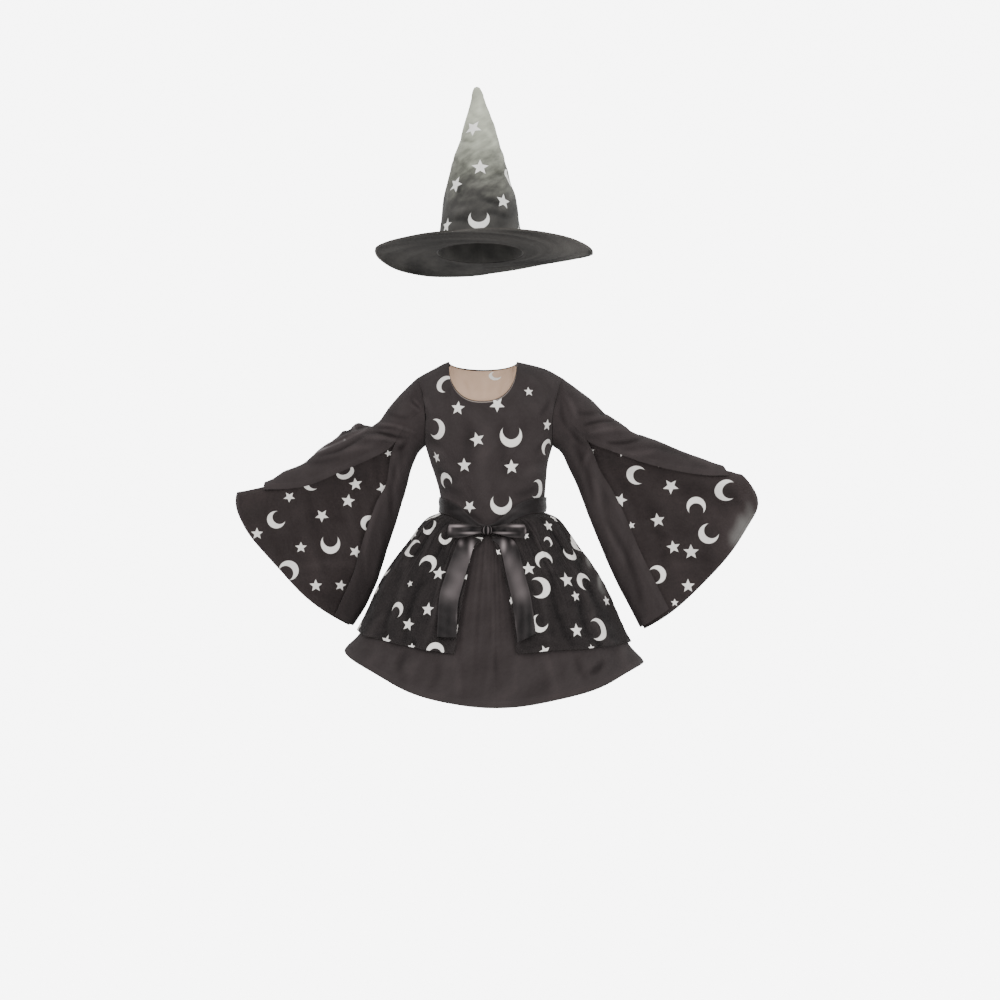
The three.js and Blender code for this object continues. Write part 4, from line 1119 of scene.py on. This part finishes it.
tailRows = {
    "right": table(
        "along across half", (0.05, -8, 7), (0.1, -24, 11.5), (0.19, -34, 13.5), (0.36, -49, 15),
        (0.48, -57, 15.5),
        (0.66, -60, 16),
    ),
    "left": table(
        "along across half", (0.055, 19, 7), (0.1, 34, 10), (0.17, 44, 13), (0.3, 53, 14.5), (0.46, 64, 15.5),
        (0.66, 73, 16),
    ),
}


def tailGrid(side):
    rows = tailRows[side]
    share = np.linspace(-1, 1, 21)[:, None]
    along = np.linspace(rows["along"][-1], rows["along"][0], 91)[None, :]
    along = along - 0.012 * share * (along > 0.5) * smoothstep(along, 0.6, 0.66)  # cut a little on the slant
    across = read(rows, "along", "across", along) + share * read(rows, "along", "half", along)
    gathers = skirtCut["gatherDepth"] * smoothstep(along, 0.02, 0.25)
    tucked = skirtCut["tuck"] * smoothstep(along, 0, 0.3)
    crest = read(standOffRows, "along", "off", along) + (gathers - tucked)
    wave = 0.8 * np.sin(14 * along + (0 if side == "left" else 1.6)) * smoothstep(along, 0.1, 0.3)
    lift = crest + 2.6 + 0.9 * np.cos(math.pi * share) + np.maximum(wave, 0)
    return skirtPoint(angleOf(across, along), along, lift)


tail = {
    "slot": "dark_satin", "wall": 0.7, "seed": 34, "hems": ("start", "end"), "hemWide": 0.8, "hemThick": 0.12,
    "flat": (0.035, 0.205), "area": 0.0062, "held": "hung", "uneven": 0.12, "unevenLength": 25,
}
# painted sheen highlights down the satin tails and painted highlights along their edges
tail["lightAndShade"] = lightAndShadeRows(
    (461, 543, 2.2, 3, 0.6), (471.5, 549, 2.5, 8, 0.85), (466, 560, 7, 9, 0.22), (458, 576, 8, 11, 0.3),
    (451, 593, 9, 9, 0.3), (513, 542, 2.2, 3, 0.4), (503.5, 546, 2.5, 6, 0.8),
    (509, 561, 6, 9, 0.24), (517, 578, 7, 11, 0.3), (522, 594, 7, 9, 0.28), (457, 617, 1.2, 5, 0.2),
    (515, 628, 1.2, 6, 0.2), (534, 612, 1.2, 6, 0.2),
)
clothPiece("bow_tail_on_right", tailGrid("right"), {**tail, "node": "bow_tail_right"})
clothPiece("bow_tail_on_left", tailGrid("left"), {**tail, "node": "bow_tail_left", "seed": 35})
print("bow made")


# Sleeves
sleevePath = {
    "right": table(
        "at topX topZ lowX lowZ lowY", (0, -119, -29, -105, -151, 0), (1, -151, -59, -113, -157, 0),
        (2, -173, -86, -122, -170, 1), (3, -195, -113, -132, -194, 3), (4, -241, -137, -144, -239, 8),
        (5, -286, -158, -157, -280, 14), (6, -324, -182, -175, -336, 24), (7, -356, -197, -199, -404, 36),
        (8, -392, -217, -222, -450, 44), (9, -446, -230, -245, -483, 50),
    ),
    "left": table(
        "at topX topZ lowX lowZ lowY", (0, 140, -29, 123, -151, 0), (1, 190, -66, 133, -157, 0),
        (2, 214, -89, 141, -166, 1), (3, 239, -106, 149, -181, 3), (4, 280, -131, 167, -220, 5),
        (5, 313, -143, 187, -272, 8), (6, 353, -160, 209, -326, 10), (7, 392, -175, 232, -380, 12),
        (8, 428, -187, 258, -431, 14), (9, 466, -198, 287, -486, 15),
    ),
}
sleeveCut = {
    "right": table(
        "at bow bunch flap strip", (0, 0, 0, 0.5, 0.5), (1, 0, 0, 0.5, 0.5), (2, 0, 0, 0.5, 0.5),
        (3, 0, 4, 0.49, 0.53), (4, 4, 32, 0.37, 0.72), (5, 9, 20, 0.28, 0.75), (6, 14, 0, 0.19, 0.78),
        (7, 20, 0, 0.11, 0.83), (8, 27, 0, 0.035, 0.86), (9, 32, 0, 0.03, 0.9),
    ),
    "left": table(
        "at bow bunch flap strip", (0, 0, 0, 0.55, 0.55), (1, 0, 0, 0.55, 0.55), (2, 0, 0, 0.55, 0.55),
        (3, 0, 0, 0.54, 0.57), (4, 2, 3, 0.37, 0.66), (5, 5, 0, 0.27, 0.67), (6, 11, 0, 0.17, 0.71),
        (7, 20, 0, 0.09, 0.76), (8, 34, 0, 0.035, 0.8), (9, 58, 0, 0.03, 0.84),
    ),
}
sleeveRound = table(
    "at arm low", (0, 46, 42), (1, 43, 34), (2, 41, 25), (3, 38, 18), (4, 35, 14), (5, 33, 12), (6, 31, 11),
    (7, 28, 11), (8, 26, 11), (9, 23, 11),
)
sleeve = {
    "end": 9, "outerEnd": 8.85, "flapEnd": 8, "folds": 1.9, "foldDepth": 9, "meshInset": 6.5, "split": 0.0005,
}
bowPeak = {"right": 0.4, "left": 0.22}


def sleevePoint(side, at, down, face, inset=0.0):
    def path(name):
        return read(sleevePath[side], "at", name, at)

    def cut(name):
        return read(sleeveCut[side], "at", name, at)

    wayX, wayZ = path("lowX") - path("topX"), path("lowZ") - path("topZ")
    full = np.hypot(wayX, wayZ)
    wayX, wayZ = wayX / full, wayZ / full
    handX, handZ = (-wayZ, wayX) if side == "left" else (wayZ, -wayX)
    length = full - 2 * inset
    walked = length * down
    armRound = read(sleeveRound, "at", "arm", at) - inset
    lowRound = np.maximum(3, read(sleeveRound, "at", "low", at) - inset)
    bulge = np.sqrt(np.maximum(0, armRound**2 - (armRound - walked) ** 2))
    half = np.where(walked < armRound, bulge, armRound)
    half = lerp(half, lowRound, smoothstep(walked, armRound, np.minimum(3 * armRound, length * 0.85)))
    left = length - walked
    half = half * np.where(left < lowRound, np.sqrt(np.maximum(0, 1 - (1 - left / lowRound) ** 2)), 1)
    peak = bowPeak[side]
    upper = 1 - np.maximum(0, (peak - down) / peak) ** 4
    bowShape = np.where(down < peak, upper, 1 - np.maximum(0, (down - peak) / (1 - peak)) ** 2.4)
    x = path("topX") + wayX * (inset + walked) + handX * cut("bow") * bowShape
    z = path("topZ") + wayZ * (inset + walked) + handZ * cut("bow") * bowShape
    growth = (at / 9) ** 1.5 * smoothstep(down, 0.05, 0.4)
    phase = 0.4 if side == "left" else 2
    wave = sleeve["foldDepth"] * growth * np.sin(2 * math.pi * sleeve["folds"] * down + phase)
    bunch = cut("bunch") * np.exp(-(((face * down * 10 - 0.8) / 0.7) ** 2))
    y = lerp(-1.4 * at, path("lowY"), down) + face * half + wave
    return stack(x, y, z + bunch)


def joinedPoint(side, at, down, face, inset=0.0):  # drawn in to the armhole near the shoulder
    free = sleevePoint(side, at, down, face, inset)
    z = lerp(tipHeight, armpitHeight, down)
    x = sideEdge(side, z)
    away = (1 if side == "left" else -1) * lerp(0.5, 1.3, smoothstep(down, 0, 0.3))
    depth = trunkDepth(x, z, face)
    centreZ = lerp(tipHeight, armpitHeight, 0.5)
    length = np.maximum(np.hypot(depth, centreZ - z), 1)
    edge = stack(x + away, depth - depth / length * inset, z + (centreZ - z) / length * inset)
    return lerp(edge, free, smoothstep(at, 0, 1)[..., None])


def turnShares(side, at, middleSteps, arcSteps):  # close together where the section turns
    def path(name):
        return read(sleevePath[side], "at", name, at)

    length = np.hypot(path("topX") - path("lowX"), path("topZ") - path("lowZ"))
    t = np.linspace(0, 1, arcSteps + 1)[None, :]
    first = (1 - np.cos(t * quarter)) * np.minimum(read(sleeveRound, "at", "arm", at), length * 0.4) / length
    last = (1 - np.cos(t * quarter)) * np.minimum(read(sleeveRound, "at", "low", at), length * 0.3) / length
    inner = np.linspace(0, 1, middleSteps + 1)[None, 1:-1]
    between = lerp(first[:, -1:], 1 - last[:, -1:], inner)
    return np.concatenate([first, between, 1 - last[:, ::-1]], axis=1)


def outerSleeveGrid(side):
    station = spaced([0, 0.4, 1, 2, 2.9, 3.5, 4.2, 5, 6, 7, 8, 9], 100)[:, None]
    reach = station / sleeve["end"]
    flap = read(sleeveCut[side], "at", "flap", reach * sleeve["flapEnd"]) - sleeve["split"]
    strip = read(sleeveCut[side], "at", "strip", reach * sleeve["outerEnd"]) + sleeve["split"]
    overShare = spaced([1, 0.78, 0.55, 0.32, 0.13, 0.015], 26)[None, :]
    over = joinedPoint(side, reach * sleeve["flapEnd"], flap * overShare, -1)
    down = turnShares(side, station, 36, 10)
    end = lerp(sleeve["flapEnd"], sleeve["outerEnd"], smoothstep(down, 0.02, 0.35))
    behind = joinedPoint(side, reach * end, down, 1)
    underShare = spaced([0.015, 0.12, 0.35, 0.65, 1], 21)[None, :]
    under = joinedPoint(side, reach * sleeve["outerEnd"], 1 - underShare * (1 - strip), -1)
    grid = np.concatenate([over, behind, under], axis=1).transpose(1, 0, 2)
    return grid[::-1] if side == "left" else grid


def meshSleeveGrid(side):
    at = spaced([0.4, 1, 2, 2.9, 4.2, 5, 6, 7, 8, 9], 91)[:, None]
    free = smoothstep(at, 0.4, 2)
    inset = lerp(2.4, sleeve["meshInset"], free)
    down = turnShares(side, at, 40, 9)
    behind = joinedPoint(side, at, down, 1, inset)
    back = down[:, 1:-1][:, ::-1]
    before = joinedPoint(side, at, back, -1, inset + 2 * (1 - free))
    grid = np.concatenate([behind, before], axis=1).transpose(1, 0, 2)
    return grid[::-1] if side == "left" else grid


outerRight = {
    "node": "sleeve_outer_right", "slot": "plain_knit", "wall": 1.3, "seed": 41,
    "hems": ("start", "end", "high"),
    "hemWide": 9, "hemThick": 0.3, "seams": ("low",), "flat": (0.44, 0.42), "area": 0.127, "held": "hung",
    "uneven": 0.4, "openFrom": 40,
    "folds": foldRows(
        (378, 424, 415, 433, 2.4, 1.7), (375, 430, 410, 438, 2.4, -1.7), (367, 438, 402, 443, 2.6, 1.5),
        (365, 425, 397, 427, 2.4, -1.3), (365, 433, 397, 437, 2.2, -1.4), (411, 399, 420, 408, 2.2, -1.5),
        (412, 405, 420, 413, 2.2, 1.3), (421, 377, 425, 388, 2.6, -1.3), (414, 400, 426, 417, 2.4, 1.2),
        (386, 412, 408, 418, 3.2, -1.1), (316, 453, 366, 430, 2.4, 1.8), (319, 456, 362, 437, 2.8, -2.0),
        (326, 443, 350, 428, 3.2, 1.6), (338, 434, 347, 424, 3.4, 5.0), (352, 431, 361, 425, 3.2, 5.5),
        (346, 430, 354, 424, 1.8, -2.5), (328, 441, 338, 433, 3.0, 3.5),
        (340, 426, 356, 432, 3.0, -1.8), (345, 452, 372, 447, 4.0, 1.3), (300, 462, 338, 458, 4.5, -1.2),
        (398, 452, 390, 500, 4.0, 1.4), (402, 448, 392, 540, 4.0, -1.4), (386, 520, 372, 600, 5.0, -1.5),
        (378, 500, 366, 580, 4.0, 1.3), (408, 440, 396, 452, 3.5, -1.4), (286, 470, 262, 482, 4.0, 1.2),
    ),
}
outerLeft = {
    **outerRight, "node": "sleeve_outer_left", "seed": 42, "flat": (0.49, 0.42), "area": 0.136,
    "folds": foldRows(
        (585, 425, 615, 421.5, 2.6, -2.2), (608, 443, 643, 438, 2.8, -2.2), (590, 433, 628, 430, 3.4, 1.6),
        (600, 414, 607, 412, 2.6, -3.0), (629, 428, 640, 436, 2.6, -2.8),
        (577, 413, 602, 411, 3.2, -1.3), (623, 424, 640, 434, 3.0, -1.6), (612, 452, 660, 450, 4.0, 1.4),
        (650, 447, 690, 458, 4.0, -1.3), (590, 452, 584, 466, 3.6, 1.4), (575, 446, 592, 500, 4.5, -1.3),
        (596, 480, 622, 560, 5.0, 1.3), (606, 520, 640, 600, 5.0, -1.5), (560, 405, 567, 428, 3.6, -1.4),
        (567, 398, 576, 418, 3.4, 1.2), (570, 430, 586, 446, 3.5, -1.4), (690, 458, 712, 466, 4.0, 1.1),
    ),
}
# painted shade on the crumpled bunch near the elbow, faint painted light lower down, and painted highlight
# lines along its fold edges
outerRight["lightAndShade"] = lightAndShadeRows(
    (340, 434, 11, 4.5, -0.5), (354, 428, 9, 4, -0.5), (326, 443, 7, 3.5, -0.45), (378, 545, 12, 40, 0.06),
)
outerRight["streaks"] = highlightLineRows(
    (316, 453, 345, 440, 1.1, 1.25), (345, 440, 366, 430, 1.0, 0.9), (338, 429, 349, 425.5, 1.2, 0.8),
    (352, 426, 356, 432, 1.1, 0.7), (328, 437, 338, 433, 1.1, 0.8), (343, 428, 341, 436, 1.0, 0.5),
)
clothPiece("sleeve_right_outer_cloth", outerSleeveGrid("right"), outerRight)
clothPiece("sleeve_left_outer_cloth", outerSleeveGrid("left"), outerLeft)

meshRight = {
    "node": "sleeve_mesh_right", "slot": "printed_mesh", "finish": "sleeve_mesh", "wall": 0.9, "wraps": True,
    "seed": 43, "hems": ("high",),
    "hemWide": 5, "hemThick": 0.25, "seams": ("low",), "flat": (0.7, 0.41), "area": 0.164, "held": "hung",
    "uneven": 0.4, "spacing": 50,
    "folds": foldRows(
        (300, 567, 356, 566, 6, 1.2), (262, 512, 284, 560, 7, -0.9), (290, 500, 316, 590, 8, 0.8),
        (312, 492, 338, 600, 7, -0.9), (336, 486, 360, 590, 7, 0.7), (352, 470, 376, 560, 5, -0.8),
        (300, 585, 340, 606, 6, -0.9), (368, 462, 384, 500, 4, 0.7), (330, 520, 350, 522, 6, -1.0),
    ),
    "motifs": motifRows(
        (0, 355.7, 484.2, 7, 8), (0, 383, 488.5, 6.5, 170), (0, 347.8, 501.3, 7, -8),
        (0, 321.6, 515.6, 7, 180),
        (0, 289.2, 496.5, 6, 180), (1, 275.7, 519.6, 9, 215), (0, 256.5, 534, 6, 0), (1, 369, 523.5, 8, 145),
        (0, 300.4, 547.8, 6, 0), (1, 330.7, 544.3, 10, 270), (0, 355.4, 551.5, 6.5, -20),
        (1, 288.4, 569.9, 10, 45),
        (0, 316, 585, 6.5, 0), (0, 340.6, 585, 6, -10), (1, 345, 471.8, 9, 300), (1, 311.6, 482.9, 8, 180),
        (0, 387.3, 454.2, 4, 20),
    ),
    "scatter": lambda points, facing: facing[:, 1] > 0.05,
}
meshLeft = {
    **meshRight, "node": "sleeve_mesh_left", "seed": 44, "flat": (0.77, 0.41), "area": 0.176,
    "folds": foldRows(
        (640, 488, 668, 590, 7, -0.8), (662, 486, 690, 596, 8, 0.7), (684, 486, 708, 570, 7, -0.8),
        (706, 486, 732, 540, 7, 0.8), (620, 478, 644, 540, 5, -0.9), (604, 462, 624, 500, 4, 0.7),
        (724, 488, 748, 520, 6, -1.4), (664, 560, 700, 566, 6, 1.2), (650, 530, 668, 540, 5, -1.1),
    ),
    "motifs": motifRows(
        (0, 670.3, 486.2, 8, 180), (0, 620.5, 500.3, 7, 200), (0, 657.8, 520.7, 7.5, 8),
        (0, 672.8, 546.7, 7, 10),
        (0, 691, 552.2, 8, 0), (0, 688.5, 586.2, 7, 0), (1, 636.3, 474.6, 10, 165), (1, 696, 506, 9.5, 90),
        (1, 708.4, 533.4, 10, 225), (1, 726.7, 491.2, 11, 180), (1, 657.8, 574.9, 9, 20),
        (0, 631.6, 526, 4, 15),
        (0, 674.4, 603, 4, 0), (0, 590.7, 449.7, 4, 0), (0, 622, 452.7, 4.5, 20), (0, 661.2, 463, 4.5, 0),
        (0, 699.3, 463, 6, 15),
    ),
}
# painted light on the sheer mesh, strongest towards the end of the left sleeve
meshRight["lightAndShade"] = lightAndShadeRows((262, 545, 16, 26, 0.12), (300, 566, 40, 3, 0.1), (246, 505, 8, 14, 0.15))
meshLeft["lightAndShade"] = lightAndShadeRows(
    (748, 518, 14, 24, 1.2), (736, 540, 13, 16, 0.9), (734, 476, 12, 5, 0.3), (722, 555, 12, 12, 0.2),
)
clothPiece("sleeve_right_printed_mesh", meshSleeveGrid("right"), meshRight)
clothPiece("sleeve_left_printed_mesh", meshSleeveGrid("left"), meshLeft)
print("sleeves made")


# Hat
coneRows = table(
    "height middle half", (196, -7, 77.5), (234, -7, 72.6), (293, -7.5, 64), (315, -8.5, 58.9),
    (336, -9.5, 53.7),
    (363, -9.5, 46.7), (401, -8.5, 34), (442, -9.5, 22.5), (478, -12, 10.5),
)
hat = {
    "brimHeight": 196, "brimHalf": 196, "tilt": 0.0437, "twist": 20, "stretch": 1.14,
    "headMiddle": -7, "headHalf": 77.5, "tipFrom": 478, "tipLength": 21.5,
}


def coneGrid():
    angle = (2 * math.pi * np.arange(160) / 160 - math.pi)[:, None]
    wall = np.linspace(hat["brimHeight"], hat["tipFrom"], 101)
    height = np.concatenate([wall, [484, 489, 493, 496, 498.2]])[None, :]
    upTip = np.maximum(0, height - hat["tipFrom"]) / hat["tipLength"]
    half = read(coneRows, "height", "half", height) * np.maximum(0.0004, 1 - upTip**1.7) ** 0.62
    middle = read(coneRows, "height", "middle", height) - upTip
    y = -half * hat["stretch"] * np.cos(angle)
    back = (height - hat["brimHeight"]) * hat["tilt"]
    return stack(middle + half * np.sin(angle), y + back, height - y * hat["tilt"])


def brimGrid():
    angle = (2 * math.pi * np.arange(200) / 200 - math.pi)[:, None]
    out = np.linspace(1, 0, 27)[None, :]
    across, ahead = np.sin(angle), -np.cos(angle)
    inset = 0.9
    x = lerp(hat["headMiddle"] + (hat["headHalf"] + inset) * across, hat["brimHalf"] * across, out)
    y = lerp((hat["headHalf"] * hat["stretch"] + inset) * ahead, hat["brimHalf"] * ahead, out)
    twist = hat["twist"] * x * np.maximum(0, y) / hat["brimHalf"] ** 2
    wave = 2 * out * np.sin(3 * angle + 0.6)
    return stack(x, y, hat["brimHeight"] + twist * out + wave - y * hat["tilt"])


cone = {
    "node": "hat_cone", "slot": "grey_felt", "wall": 1.6, "wraps": True, "seed": 51, "seams": ("low",),
    "flat": (0.52, 0.32), "area": 0.099, "held": "stretched", "uneven": 0.9, "unevenLength": 48,
    "spacing": 46,
    "tip": {"outer": (-13, 13.2, 499.5), "inner": (-12.8, 13.2, 496.5)},
    "folds": foldRows(
        (458, 140, 476, 143, 3.5, -1.8), (462, 147, 488, 141, 4, 1.5), (453, 160, 470, 172, 4, -1.6),
        (470, 186, 500, 180, 4.5, 1.7), (450, 184, 462, 196, 4, -1.4), (478, 196, 510, 204, 4.5, -1.7),
        (514, 190, 498, 214, 4, 1.6), (452, 212, 474, 206, 4.5, 1.5), (484, 212, 510, 218, 4.5, -1.5),
        (470, 112, 486, 120, 3, -1.0), (486, 130, 496, 148, 3, 1.3), (468, 160, 484, 154, 3.5, -1.3),
        (446, 222, 470, 220, 4, -1.3), (494, 170, 505, 176, 3.5, -1.6), (480, 100, 478, 116, 3, 0.8),
    ),
    "motifs": motifRows(
        (0, 473.1, 128.4, 8.8, 185), (0, 480.3, 167.5, 8.6, 0), (0, 455.8, 184.8, 8.6, -20),
        (0, 503.1, 201.7, 8, -10),
        (0, 447, 225.9, 8, 0), (1, 478.8, 219.3, 10.3, 270), (1, 508.5, 178, 9, 200), (0, 519, 231, 6, 0),
    ),
    "scatter": lambda points, facing: (facing[:, 1] > 0.12) & (points[:, 2] < 455) & (points[:, 2] > 208),
}
brim = {
    "node": "hat_brim", "slot": "grey_felt", "finish": "brim_felt", "wall": 1.8, "wraps": True, "seed": 52,
    "hems": ("low",), "hemWide": 3, "hemThick": 0.35, "seams": ("high",), "flat": (0.39, 0.39), "area": 0.099,
    "held": "stretched", "uneven": 0.6, "unevenLength": 80,
    # painted highlight along the brim's front edge and on its right, painted shade along its lower edges
    "lightAndShade": lightAndShadeRows(
        (480, 229.5, 50, 1.1, 0.3), (575, 247, 22, 11, 0.45), (545, 240, 25, 9, 0.2),
        (398, 258, 20, 10, 0.08),
        (540, 262, 45, 3, -0.25), (400, 272, 40, 4, -0.25), (590, 251, 4, 3, -0.4),
    ),
}
clothPiece("hat_cone_cloth", coneGrid(), cone)
clothPiece("hat_brim_cloth", brimGrid(), brim)
print("hat made")


# Floor, backdrop and lights
white = Finish("studio_white", {
    "Base Color": (0.94, 0.94, 0.94, 1),
    "Roughness": 0.9,
    "Emission Strength": studio["backdropGlow"],
    "Emission Color": (1, 1, 1, 1),
})


def stagePiece(name, points, faces):
    mesh = bpy.data.meshes.new(name)
    mesh.from_pydata(points, [], faces)
    mesh.polygons.foreach_set("use_smooth", np.ones(len(faces), bool))
    mesh.materials.append(white.material)
    piece = bpy.data.objects.new(name, mesh)
    bpy.context.collection.objects.link(piece)
    return piece


def makeStage():
    low = studio["floorHeight"]
    profile = [(-6.0, low), (1.0, low), (1.9, low + 0.05), (2.5, low + 0.3)]
    profile += [(2.9, low + 0.9), (3.0, low + 2.0), (3.0, low + 6)]
    points = [(x, y, z) for x in (-7, 7) for y, z in profile]
    count = len(profile)
    faces = [(i, i + count, i + count + 1, i + 1) for i in range(count - 1)]
    backdrop = stagePiece("backdrop", points, faces)
    bowl = bmesh.new()
    bmesh.ops.create_uvsphere(bowl, u_segments=48, v_segments=24, radius=studio["domeRadius"])
    places = [tuple(v.co) for v in bowl.verts]
    corners = [[v.index for v in face.verts] for face in bowl.faces]
    bowl.free()
    dome = stagePiece("dome", places, corners)  # the same white all round, for the other views
    dome.visible_shadow = False
    for piece in (backdrop, dome):
        piece.visible_diffuse = False  # the costume is lit by the lamps and the sky alone
        piece.visible_glossy = False


def areaLight(name, place, aim, size, power):
    light = bpy.data.lights.new(name, "AREA")
    light.shape = "DISK"
    light.size = size
    light.energy = power
    lamp = bpy.data.objects.new(name, light)
    lamp.location = place
    way = np.array(aim, float) - np.array(place, float)
    lamp.rotation_euler = (math.acos(-way[2] / np.linalg.norm(way)), 0, math.atan2(-way[0], way[1]))
    bpy.context.collection.objects.link(lamp)


makeStage()
for lampName, lampValues in studio["lamps"].items():
    areaLight(lampName, *lampValues)
world = bpy.data.worlds.new("studio")
world.use_nodes = True
world.node_tree.nodes["Background"].inputs[0].default_value = (1, 1, 1, 1)
world.node_tree.nodes["Background"].inputs[1].default_value = studio["worldStrength"]
bpy.context.scene.world = world
print("stage and lights made")

bpy.context.view_layer.update()
